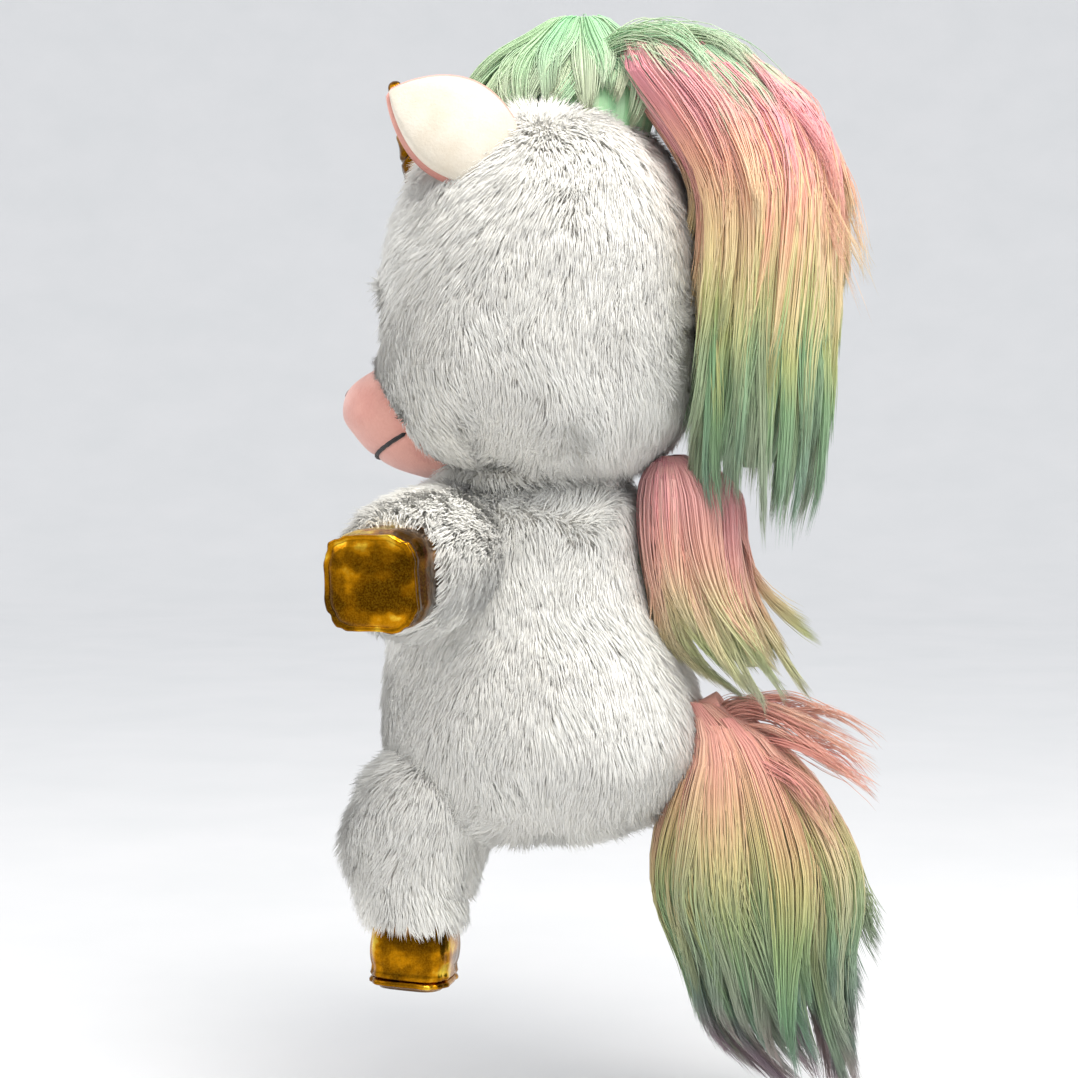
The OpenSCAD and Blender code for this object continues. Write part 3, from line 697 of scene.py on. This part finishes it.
def torso_fur():
    """Fur on the body, clear of the neck and the limbs' roots."""
    points, normals = scatter(torso_form, 22)
    keep = away_from(points, NECK, NECK_GAP - 2 * MM)
    for side, _ in SIDES:
        for kind, gap in LIMB_GAP.items():
            keep &= away_from(points, joint_at(f"{side}_{kind}_swing"), gap)
    seat_half = node_box("seat_panel")[1][0]
    under = (points[:, 2] < 9 * MM) & (np.hypot(points[:, 0], points[:, 1]) < seat_half)
    belly_half = node_box("belly_panel")[1][0]
    front = (np.abs(points[:, 0]) < belly_half) & (points[:, 1] < -20 * MM) & ~under
    rest = ~under & ~front
    # near the neck the fur stands up and closes the gap below the head
    up = np.clip((points[:, 2] - 118 * MM) / (22 * MM), 0, 1)[:, None]
    comb = DOWN * (1 - 1.5 * up)
    # round the bottom edge it lies outwards and up
    low = np.clip(1 - (points[:, 2:3] - 2 * MM) / (26 * MM), 0, 1)
    away = points * np.array([1, 1, 0])
    comb = comb * (1 - low) + unit(away) * low * 0.9 + np.array([0, 0, 0.35]) * low
    skin = (points, normals, comb)
    left = points[:, 0] > 0
    panels = (("torso_left", rest & left, 2, PILE), ("torso_right", rest & ~left, 2, PILE),
              ("belly", front, 1, PILE), ("seat", under, 1, PILE * 0.55))
    for i, (name, where, parts, length) in enumerate(panels):
        coat(name + "_pile", skin, keep & where, 41 + i, "torso", name + "_panel", parts, length=length)


def neck_fur():
    """A collar of fur that rides on the neck, between the head and the body."""
    ring = circle(whole_turn(64), np.array([1.0, 0, 0]), np.array([0, 1.0, 0]))
    grid = [NECK + ring * np.array([w, w * 0.98, 1]) * MM + np.array([0, 0, z * MM])
            for z, w in ((-12, 22), (-10, 30), (-5, 34), (0, 35), (4, 33), (8, 27), (9, 18))]
    form = finish_piece(closed_grid("neck_collar", np.array(grid)), "neck", BACKING, "white_fur")
    points, normals = scatter(form, 23)
    skin = (points, normals, np.broadcast_to(DOWN * 0.6, points.shape))
    coat("neck_pile", skin, np.abs(normals[:, 2]) < 0.9, 47, "neck", None, length=PILE * 0.9, lie=0.5)


def limb(body, kind, seed):
    """A furred sleeve of an arm or a leg, with its stuffing; gives its joint and the middle of its sole."""
    rows = LIMB_ROWS[kind]
    start = joint_at(f"{body}_swing")
    low, high = node_box(f"{body}_sole")
    end = (low + high) / 2
    form = stuffed(f"{body}_form", limb_grid(rows, start, end, PILE_DEPTH - 1 * MM), body, f"{body}_stuffing")
    points, normals = scatter(form, seed)
    axis = unit(end - start)
    reach = (points - start) @ axis / np.linalg.norm(end - start)
    keep = (reach < rows[-2][0] - 0.005) & (reach > LIMB_BARE[kind])
    comb = np.broadcast_to(unit(DOWN * 0.7 + axis * 0.6), points.shape)
    coat(f"{body}_sleeve_pile", (points, normals, comb), keep, seed + 1, body, f"{body}_sleeve")
    return start, end


# ---------------- hooves, horn, ears, face


def hoof(body, kind, start, end, seed):
    """Foil wall and a plump foil sole, joined at a raised, slightly gathered seam."""
    axis = unit(end - start)
    half, length = HOOF_HALF[kind], HOOF_LENGTH[kind]
    across = unit(np.cross(axis, -DOWN if kind == "arm" else FRONT))
    third = np.cross(across, axis)
    turn = whole_turn(120)
    square = superellipse(turn, 3.6)
    phases = np.random.default_rng(seed).uniform(0, 2 * math.pi, 6)

    def ring(scale, depth, ripple=0.0):
        """Points at depth in millimetres from the sole's face towards the limb."""
        gather = (np.sin(7 * turn + phases[0]) + 0.8 * np.sin(12 * turn + phases[1])
                  + 0.4 * np.sin(23 * turn + phases[2])) / 2
        flat = square * (half * scale + ripple * MM * gather)[:, None]
        return end - axis * depth * MM + flat[:, :1] * across + flat[:, 1:] * third

    wall = [ring(0.50, 0.5), ring(0.96, 0.8, 0.1), ring(1.0, 1.2, 0.35), ring(1.02, 2.0, 0.45),
            ring(1.0, 3.2, 0.5), ring(0.99, 5, 0.5)]
    top = length / MM
    for depth in np.linspace(7, top + 3, 14):
        swell = 1.0 + 0.035 * math.sin(math.pi * (depth / top)) + 0.02 * math.sin(9 * depth / top + phases[3])
        wall.append(ring(swell, depth, 0.35 * (1 - depth / top * 0.6)))
    wall += [ring(0.9, top + 4), ring(0.5, top + 4.5)]
    sole = [ring(0.6, 1.0), ring(0.93, 0.6), ring(1.0, 0.2, 0.45), ring(1.03, -0.6, 0.6),
            ring(1.025, -1.5, 0.6), ring(0.985, -1.9, 0.45), ring(0.945, -1.3, 0.35), ring(0.90, -1.7, 0.3)]
    for scale in np.linspace(0.82, 0.08, 12):
        sole.append(ring(scale, -(2.2 + 2.1 * math.sqrt(1 - scale**2)), 0.15 * scale))
    for name, grid, node in (("hoof_foil", wall[::-1], "hoof_wall"), ("sole_foil", sole, "sole")):
        obj = closed_grid(f"{body}_{name}", np.array(grid))
        finish_piece(obj, body, FOIL, "gold_foil", f"{body}_{node}", fill=0.8)


def horn():
    """A stuffed foil cone whose spiral seam pulls a groove round it."""
    low, high = node_box("horn")
    axis = np.array([0, -math.sin(HORN_LEAN), math.cos(HORN_LEAN)])
    tip = np.array([0, low[1] - 0.8 * MM, high[2] - 1.0 * MM])
    rings, turns = 150, 4.5
    turn = whole_turn(48)
    side = np.array([1.0, 0, 0])
    round_it = circle(turn, side, np.cross(axis, side))
    grid = []
    for share in np.linspace(0, 1, rings):
        radius = (11 * (1 - share) + 2.4 * share) * MM
        if share > 0.96:
            radius *= math.sqrt(max(0.02, 1 - ((share - 0.96) / 0.04) ** 2))
        phase = turn - share * turns * 2 * math.pi
        groove = np.exp(-((np.mod(phase + math.pi, 2 * math.pi) - math.pi) / 0.55) ** 2)
        puff = 0.03 + 0.04 * np.cos(phase)
        r = radius * (1 + puff - 0.20 * groove) + 0.12 * MM * np.sin(13 * turn + 40 * share)
        grid.append(tip - axis * HORN_LENGTH * (1 - share) + round_it * r[:, None])
    obj = closed_grid("horn_foil", np.array(grid))
    finish_piece(obj, "head", FOIL, "gold_foil", "horn", "horn_stuffing", fill=0.9)


def ear(side, sign):
    """Two layers of cloth, cupped like a leaf, with a rolled edge."""
    heading, rise, roll = EAR_TURN
    turn = Matrix.Rotation(heading, 3, "Z") @ Matrix.Rotation(rise, 3, "X") @ Matrix.Rotation(roll, 3, "Y")
    f = np.linspace(0.0, 1, 46)[:, None]
    s = np.linspace(-1, 1, 25)[None]
    width = EAR_HALF * np.sin(math.pi * (f * 0.86 + 0.14) ** 1.25) ** 0.8
    width[-1] = 0.4 * MM
    y = np.broadcast_to(f * EAR_LENGTH, (46, 25))
    edge = np.sqrt(np.clip(1 - np.abs(s) ** 6, 0, 1)) * np.sqrt(np.clip(1 - f**14, 0, 1))
    puff = 0.8 * MM * edge
    thick = 2.3 * MM

    def layer(name, offset, wide, material, slot_name):
        x = (width + wide) * s
        sag = np.sqrt(EAR_BOWL**2 - x**2 - (y - EAR_LENGTH / 2) ** 2) - EAR_BOWL + 6 * MM
        top = sag + offset + thick * edge / 2 + (puff if offset > 0 else 0)
        bottom = sag + offset - thick * edge / 2 - (puff * 0.4 if offset < 0 else 0)
        loop = np.concatenate([np.stack([x, y, top], -1), np.stack([x, y, bottom], -1)[:, ::-1]], 1)
        world = (loop.reshape(-1, 3) @ np.array(turn).T).reshape(loop.shape)
        world = (world + EAR_ROOT) * np.array([sign, 1, 1])
        if sign < 0:
            world = world[:, ::-1]
        node = f"{side}_ear_{name}"
        obj = closed_grid(node + "_cloth", world[::-1])
        finish_piece(obj, side + "_ear", material, slot_name, node, fill=0.3)

    layer("back", 1.25 * MM, 0.0, EAR_WHITE, "ear_minky")
    layer("lining", -1.25 * MM, 1.5 * MM, PINK, "pink_minky")


def tube(name, path, radius):
    """A cord along a path (R, 3), its radius swelling at each stitch."""
    t = np.arange(len(path))
    radii = radius * (1 + 0.22 * np.abs(np.sin(t * math.pi / 3)))
    radii[-1] = 0
    return strands(name, path[None], radii[None], np.zeros(1), (t / len(path))[None], sides=10, width=0.5)


def muzzle():
    """The pink muzzle and chin, parted by the stitched mouth, and two stitched nostrils."""
    into_head = np.array([0, 22 * MM, 0])
    grid = form_grid(MUZZLE_ROWS, muzzle_low, muzzle_high + into_head, 0.3 * MM, 2.1, 90, 120)
    up = np.array([0, -math.sin(MOUTH_SLOPE), math.cos(MOUTH_SLOPE)])
    height = (grid - MOUTH) @ up
    pinch = 1.2 * MM * np.exp(-(height / (1.5 * MM)) ** 2)
    grid = grid - unit(grid - grid.mean(axis=1, keepdims=True)) * pinch[..., None]
    finish_piece(closed_grid("muzzle_cloth", grid), "head", PINK, "pink_minky", "muzzle", "chin", fill=0.8)
    # the mouth lies in the groove, across the front of the muzzle
    line = []
    for column in range(62, 119):
        above = int(np.argmax(height[:, column] > 0))
        f = -height[above - 1, column] / (height[above, column] - height[above - 1, column])
        line.append(grid[above - 1, column] * (1 - f) + grid[above, column] * f)
    line = np.array(line) + unit(np.array(line) - MOUTH) * 0.35 * MM
    finish_piece(tube("mouth_cord", line, 0.75 * MM), "head", BLACK_THREAD, "black_thread", "mouth_thread")
    bend = np.linspace(math.radians(10), math.radians(150), 24)
    for side, sign in SIDES:
        node = side + "_nostril_thread"
        low, high = node_box(node)
        at = (low + high) / 2
        path = np.stack([at[0] + 3.2 * MM * np.cos(bend) * sign, at[1] + 0.4 * MM + 0.9 * MM * np.sin(bend),
                         at[2] - 1.6 * MM + 3.0 * MM * np.sin(bend)], -1)
        obj = tube(side + "_nostril_cord", path, 0.5 * MM)
        finish_piece(obj, "head", NOSTRIL_THREAD, "nostril_thread", node)


def eye(side, sign):
    """A glossy dome with a rolled edge."""
    low, high = node_box(side + "_eye")
    turned = EYE_TURN * sign
    way = np.array([math.sin(turned), -math.cos(turned), 0])
    across = np.array([math.cos(turned), math.sin(turned), 0])
    at = np.array([EYE_OUT * sign, EYE_FRONT, (low[2] + high[2]) / 2])
    ring = circle(whole_turn(64), across, -DOWN)
    profile = [(7.6, -4.5), (8.6, -4.3), (8.8, -1.0), (8.75, 0.4), (8.3, 1.0)]
    profile += [(8.1 * math.cos(a), 1.0 + 3.8 * math.sin(a)) for a in np.linspace(0.08, 1.5, 16)]
    grid = np.array([at + way * h * MM + ring * r * MM for r, h in profile])
    finish_piece(closed_grid(side + "_eye_dome", grid), "head", EYE_BLACK, "eye_plastic", side + "_eye")


# ---------------- hair


def hair_path(rows, top, height, share, angle, ring):
    """Points down a lofted bundle of hair: share down it, angle and ring place within it."""
    row = smooth_rows(rows, share.ravel()).reshape(share.shape + (4,))
    x = ring * np.cos(angle) * row[..., 2] * MM
    y = (row[..., 1] + ring * np.sin(angle) * row[..., 3]) * MM
    return np.stack([x, y, top - row[..., 0] * height], -1)


def bundle(name, rows, top, height, locks, per_lock, seed, material, body, rings, ends,
           widths=(0.07, 0.16), sway=2.8, flick=5.0, parts=1):
    """Pointed locks of hair down a bundle, each with its own place, length, drift and flick at its end."""
    rng = np.random.default_rng(seed)
    count = locks * per_lock
    lock = np.repeat(np.arange(locks), per_lock)
    angle = (np.arange(locks) + rng.uniform(-0.35, 0.35, locks)) * 2 * math.pi / locks
    ring = rng.uniform(*rings, locks)
    end = rng.uniform(*ends, locks)
    begin = rng.uniform(0, 0.08, locks)
    width = rng.uniform(*widths, locks)
    deep = rng.uniform(0.03, 0.07, locks)
    across_lock = np.clip(rng.normal(size=count), -2.2, 2.2)
    fibre_ring = np.clip(rng.normal(size=count), -2, 2)
    t = np.linspace(0, 1, 13)[None]
    fibre_end = end[lock] * (1 - 0.14 * np.abs(across_lock) / 2.2 - 0.08 * rng.random(count))
    share = begin[lock][:, None] + (fibre_end - begin[lock])[:, None] * t
    gather = 1 - 0.82 * t**2.4
    drift = (rng.normal(size=locks) * 0.24)[lock][:, None] * t**1.6
    pitch, phase = (rng.uniform(low, high, locks)[lock][:, None] for low, high in ((3, 7), (0, 6.3)))
    wave = 0.05 * np.sin(t * pitch + phase) * t
    a = angle[lock][:, None] + (across_lock * width[lock])[:, None] * gather + drift + wave
    r = np.clip(ring[lock][:, None] + (fibre_ring * deep[lock])[:, None] * gather, 0.05, 1.05)
    paths = hair_path(rows, top, height, np.clip(share, 0, 1), a, r)
    paths[..., 2] -= np.clip(share - 1, 0, None) * height
    drag = wobble(paths.reshape(-1, 3), 55 * MM, seed + 1).reshape(paths.shape)
    paths += drag * (sway * MM) * (t[..., None] ** 1.2)
    out = np.stack([np.cos(angle), np.sin(angle), np.full(locks, -0.15)], -1)
    out += rng.normal(size=(locks, 3)) * 0.4
    reach = rng.gamma(1.3, flick / 1.3, locks)[lock][:, None, None] * MM
    paths += unit(out)[lock][:, None] * reach * (t**3.5)[..., None]
    stray = rng.normal(size=(count, 1, 3)) * np.array([1, 1, 0.4]) * (0.9 * MM)
    paths += stray * (t**2)[..., None]
    size = HAIR_RADIUS * rng.uniform(0.7, 1.3, count)[:, None]
    radii = size * np.sqrt(np.clip(1 - t**4, 0, 1)) * np.ones_like(share)
    across = (lock + 0.5 + across_lock * 0.2) / locks
    along = np.clip(share, 0.002, 0.998)
    for part, some in enumerate(np.array_split(np.arange(count), parts)):
        obj = strands(part_name(name, part, parts), paths[some], radii[some], across[some], along[some],
                      width=0.05 / locks)
        finish_piece(obj, body, material, "mane_hair")


def sprays(name, paths, per_lock, spread, seed, material, body, tone, thick=HAIR_RADIUS):
    """Loose pointed locks along centre lines (L, R, 3); tone is the range of colour along each.

    They bend away before they stand too far behind the toy.
    """
    rng = np.random.default_rng(seed)
    locks, steps, _ = paths.shape
    lock = np.repeat(np.arange(locks), per_lock)
    t = np.linspace(0, 1, steps)[None]
    off = rng.normal(size=(len(lock), 1, 3)) * spread * MM
    gather = (0.35 + 0.65 * np.sin(math.pi * np.clip(t * 0.9 + 0.1, 0, 1)))[..., None]
    wisp = rng.normal(size=(len(lock), 1, 3)) * 1.6 * MM * (t**2.5)[..., None]
    every = paths[lock] + off * gather + wisp
    cutoff = rng.uniform(0.7, 1.0, len(lock))[:, None]
    at = t * cutoff * (steps - 1)
    low = np.minimum(at.astype(int), steps - 2)
    rows = np.arange(len(lock))[:, None]
    every = every[rows, low] * (1 - (at - low))[..., None] + every[rows, low + 1] * (at - low)[..., None]
    limit, give = 128 * MM, 12 * MM
    reach = every[..., 1] - limit
    every[..., 1] = np.where(reach > 0, limit + give * np.tanh(reach / give), every[..., 1])
    radii = thick * rng.uniform(0.6, 1.1, len(lock))[:, None] * np.sqrt(np.clip(1 - t**3, 0, 1))
    along = tone[0] + (tone[1] - tone[0]) * t * cutoff
    obj = strands(name, every, radii, (lock + 0.5) / locks, along, width=0.05 / locks)
    finish_piece(obj, body, material, "mane_hair")


def hair_core(name, rows, top, height, scale, material, body, node):
    """The dense middle of a bundle, streaked like the fibres over it."""
    share = np.linspace(0.01, 0.86, 60)
    s, a = np.meshgrid(share, whole_turn(90), indexing="ij")
    thin = scale * np.clip(1.2 - s**4 * 1.6, 0.2, 1)
    ridge = 1 + 0.05 * np.sin(17 * a + 3 * s) + 0.04 * np.sin(31 * a - 5 * s)
    grid = hair_path(rows, top, height, s, a, thin * ridge)
    obj = closed_grid(name, grid[::-1])
    layer = obj.data.uv_layers["OFBake"]
    uv = read(layer.data, "uv", 2)
    uv[:, 1] = 0.86 - 0.85 * uv[:, 1]
    layer.data.foreach_set("uv", uv.ravel())
    finish_piece(obj, body, material, "mane_hair", node)


def dome(way, share, lift):
    """Points on the mound of hair over the crown: way round it, share of the way down from its top."""
    wide, deep, high = (half + lift for half in TUFT_HALF)
    back, up = TUFT_MIDDLE
    polar = share * math.radians(100)
    x = wide * np.sin(polar) * np.cos(way)
    y = back + TUFT_LEAN * (1 - np.clip(share, 0, 1)) + deep * np.sin(polar) * np.sin(way)
    z = up + high * np.cos(polar)
    return np.stack([x, y, z], -1) * MM


def crown_tuft():
    """Hair gathered on the crown, standing up in a small knot and falling over a mound on every side."""
    rng = np.random.default_rng(77)
    locks, per_lock, steps = TUFT_LOCKS, 84, 12
    share, way = np.meshgrid(np.linspace(0.03, 1.0, 24), whole_turn(60), indexing="ij")
    core = closed_grid("crown_core", dome(-way, share, -4 + 0.7 * np.sin(19 * way))[::-1])
    finish_piece(core, "head", TUFT_DYE, "mane_hair", "crown_tuft")
    lock = np.repeat(np.arange(locks), per_lock)
    way = (np.arange(locks) + rng.uniform(-0.4, 0.4, locks)) * 2 * math.pi / locks
    lift = rng.uniform(-2.5, 3, locks)
    end = rng.uniform(0.72, 1.02, locks)
    begin = rng.uniform(0.0, 0.10, locks)
    t = np.linspace(0, 1, steps)[None]
    off = np.clip(rng.normal(size=len(lock)), -2.2, 2.2)
    fibre_end = end[lock] * (1 - 0.12 * np.abs(off) / 2.2 - 0.08 * rng.random(len(lock)))
    place = begin[lock][:, None] + (fibre_end - begin[lock])[:, None] * t
    gather = 1 - 0.7 * t**2.5
    bend = (rng.normal(size=locks) * 0.30)[lock][:, None] * t**1.3
    aim = way[lock][:, None] + (off * 0.10)[:, None] * gather + bend
    high = lift[lock][:, None] * np.sin(math.pi * np.clip(t, 0.1, 1)) + rng.normal(size=(len(lock), 1)) * 0.7
    knot = 5.5 * np.exp(-((place - 0.10) / 0.13) ** 2)
    paths = dome(aim, place, high + knot)
    radii = HAIR_RADIUS * np.sqrt(np.clip(1 - t**4, 0, 1)) * rng.uniform(0.7, 1.3, len(lock))[:, None]
    obj = strands("crown_tuft_hair", paths, radii, (lock + 0.5 + off * 0.2) / locks,
                  np.broadcast_to(t, (len(lock), steps)), width=0.05 / locks)
    finish_piece(obj, "head", TUFT_DYE, "mane_hair")


def curve_points(points, steps=14):
    """A smooth path through points given in millimetres."""
    rows = np.array([(i / (len(points) - 1),) + tuple(p) for i, p in enumerate(points)])
    return smooth_rows(rows, np.linspace(0, 1, steps))[:, 1:] * MM


def loose_hair():
    """Stray locks: over the mane from the crown, off its back, and blowing out beside the tail's root."""
    rng = np.random.default_rng(5)

    def around(points, count, jitter):
        """Stray copies of a route, which spread towards its end."""
        spread = np.linspace(0.5, 1.4, len(points))[:, None] * jitter
        shape = (len(points), 3)
        return [curve_points(np.array(points) + rng.normal(size=shape) * spread) for _ in range(count)]

    def both_sides(points, count, jitter):
        """The same over the left side and over the right."""
        left, right = (around(np.array(points) * (sign, 1, 1), count, jitter) for _, sign in SIDES)
        return left + right

    over = (both_sides([(6, 22, 311), (16, 44, 315), (26, 66, 303), (33, 82, 276)], 8, 3.0)
            + both_sides([(1, 14, 308), (4, 40, 314), (12, 68, 310), (20, 94, 286)], 12, 3.0))
    sprays("crown_locks", np.array(over), 60, 2.3, 6, TUFT_DYE, "head", (0.3, 1.0))
    back = both_sides([(16, 78, 308), (24, 100, 288), (18, 116, 258), (10, 129, 218)], 4, 3.5)
    sprays("mane_flyaways", np.array(back), 26, 1.5, 7, MANE_DYE, "head", (0.08, 0.45), HAIR_RADIUS * 0.8)
    blown = (both_sides([(2, 68, 50), (5, 84, 56), (8, 106, 51), (9, 132, 38)], 3, 3.0)
             + around([(0, 70, 48), (5, 88, 50), (8, 112, 40), (10, 136, 26)], 4, 3.5)
             + around([(3, 72, 46), (9, 88, 40), (12, 106, 24), (12, 116, 8)], 4, 3.0))
    sprays("tail_spray", np.array(blown), 30, 1.3, 8, TAIL_DYE_AND_SHADE, "tail", (0.0, 0.16), HAIR_RADIUS * 0.85)


# ---------------- camera, light, floor


def place(name, data, target, azimuth, elevation, distance):
    """Put a camera or light at a distance from its target, and aim it."""
    a, e = math.radians(azimuth), math.radians(elevation)
    obj = bpy.data.objects.new(name, data)
    bpy.context.scene.collection.objects.link(obj)
    away = Vector((math.sin(a) * math.cos(e), -math.cos(a) * math.cos(e), math.sin(e))) * distance
    obj.location = target + away
    obj.rotation_mode = "QUATERNION"
    obj.rotation_quaternion = (-away).to_track_quat("-Z", "Y")
    return obj


def camera():
    a = math.radians(CAMERA_AZIMUTH)
    data = bpy.data.cameras.new("camera")
    data.sensor_width = 36
    data.lens = data.sensor_width * CAMERA_DISTANCE / PICTURE_WIDTH
    right, up = PICTURE_MIDDLE
    target = Vector((math.cos(a) * right, math.sin(a) * right, up))
    obj = place("camera", data, target, CAMERA_AZIMUTH, CAMERA_ELEVATION, CAMERA_DISTANCE)
    bpy.context.scene.camera = obj


def area_light(name, azimuth, elevation, distance, size, power, colour):
    data = bpy.data.lights.new(name, "AREA")
    data.shape = "DISK"
    data.size = size
    data.energy = power
    data.color = colour
    lamp = place(name, data, Vector((0, 0, 0)), azimuth, elevation, distance)
    lamp.rotation_quaternion = (Vector((0, 0, LIT_HEIGHT)) - lamp.location).to_track_quat("-Z", "Y")


def studio():
    """A pale floor that rises far off into a backdrop, a pale sky and three soft lamps."""
    world = bpy.data.worlds.new("studio")
    world.use_nodes = True
    sky = world.node_tree.nodes["Background"].inputs
    sky["Color"].default_value = (0.96, 0.975, 1.0, 1)
    sky["Strength"].default_value = 1.0
    bpy.context.scene.world = world
    area_light("key", 128, 64, 1.05, 0.6, 8.6, (1, 0.965, 0.91))
    area_light("fill", 140, 32, 1.6, 1.2, 4, (0.95, 0.97, 1))
    area_light("front", 20, 35, 1.6, 1.0, 3, (1, 0.97, 0.95))
    bpy.context.scene.view_settings.view_transform = "Standard"
    floor_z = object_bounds()[0][2] - 1 * MM
    flat, rising = np.linspace(0.02, FLAT_FLOOR, 20), np.linspace(FLAT_FLOOR + 0.1, 6.0, 24)
    radius = np.concatenate([flat, rising])[:, None]
    sides = 96
    turn = whole_turn(sides)
    height = floor_z + 0.30 * np.clip(radius - FLAT_FLOOR, 0, None) ** 2
    grid = np.stack([radius * np.cos(turn), radius * np.sin(turn), height + 0 * turn], -1)
    verts = np.concatenate([grid.reshape(-1, 3), [[0, 0, floor_z]]])
    k = np.arange(sides)
    middle = np.stack([np.full(sides, len(verts) - 1), k, (k + 1) % sides], -1)
    floor = mesh_object("floor", verts, [grid_faces(len(radius), sides)[:, ::-1], middle])
    paint = Shader("floor", Roughness=0.85, Specular_IOR_Level=0.1)
    grain = paint.noise(paint.coords(), 8)
    paint.set("Base Color", paint.ramp(grain, [(0.3, (0.78, 0.785, 0.79, 1)), (0.7, (0.81, 0.81, 0.815, 1))]))
    floor.data.materials.append(paint.material)
    floor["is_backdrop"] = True


# ---------------- putting it together

camera()
head_fur()
torso_fur()
neck_fur()
for number, (side, sign) in enumerate(SIDES):
    for kind, limb_seed, hoof_seed in (("arm", 51, 61), ("leg", 81, 71)):
        ends = limb(f"{side}_{kind}", kind, limb_seed + 10 * number)
        hoof(f"{side}_{kind}", kind, *ends, hoof_seed + number)
    ear(side, sign)
    eye(side, sign)
horn()
muzzle()

mane_low, mane_high = node_box("head_mane")
MANE = (MANE_ROWS, mane_high[2], mane_high[2] - mane_low[2])
NECK_HAIR = (NECK_ROWS, 154 * MM, 96 * MM)
TAIL_HAIR = (TAIL_ROWS, 57 * MM, 157 * MM)
hair_core("mane_core", *MANE, 0.66, MANE_DYE, "head", "head_mane")
bundle("mane_hair_outer", *MANE, MANE_LOCKS, 95, 101, MANE_DYE, "head", (0.86, 1.0), (0.80, 1.06),
       flick=2.5, parts=2)
bundle("mane_hair_middle", *MANE, MANE_LOCKS, 70, 102, MANE_DYE, "head", (0.66, 0.9), (0.7, 1.0),
       flick=2.5, parts=2)
bundle("mane_hair_short", *MANE, 40, 60, 103, MANE_DYE, "head", (0.9, 1.0), (0.35, 0.8),
       (0.05, 0.11), flick=3.0)
hair_core("neck_core", *NECK_HAIR, 0.62, NECK_DYE, "torso", "neck_mane")
bundle("neck_hair", *NECK_HAIR, NECK_LOCKS, 80, 104, NECK_DYE, "torso", (0.72, 1.0), (0.72, 1.06),
       (0.10, 0.22), sway=3, parts=2)
hair_core("tail_core", *TAIL_HAIR, 0.66, TAIL_DYE_AND_SHADE, "tail", "tail_hair")
bundle("tail_hair_outer", *TAIL_HAIR, TAIL_LOCKS, 90, 105, TAIL_DYE_AND_SHADE, "tail", (0.84, 1.0), (0.72, 1.06),
       flick=7, parts=2)
bundle("tail_hair_inner", *TAIL_HAIR, TAIL_LOCKS, 55, 106, TAIL_DYE_AND_SHADE, "tail", (0.6, 0.86), (0.7, 1.0))
crown_tuft()
loose_hair()

# inner pieces that keep their CAD shape
KEPT = {
    "neck_stuffing": FIBREFILL, "pellet_bag": PELLET_CLOTH, "head_mane_strip": BAND, "neck_mane_strip": BAND,
    "tail_base": TAIL_CLOTH, "left_eye_washer": WASHER, "right_eye_washer": WASHER,
}
for node, material in KEPT.items():
    frame["nodes"][node].data.materials.clear()
    frame["nodes"][node].data.materials.append(material)

studio()
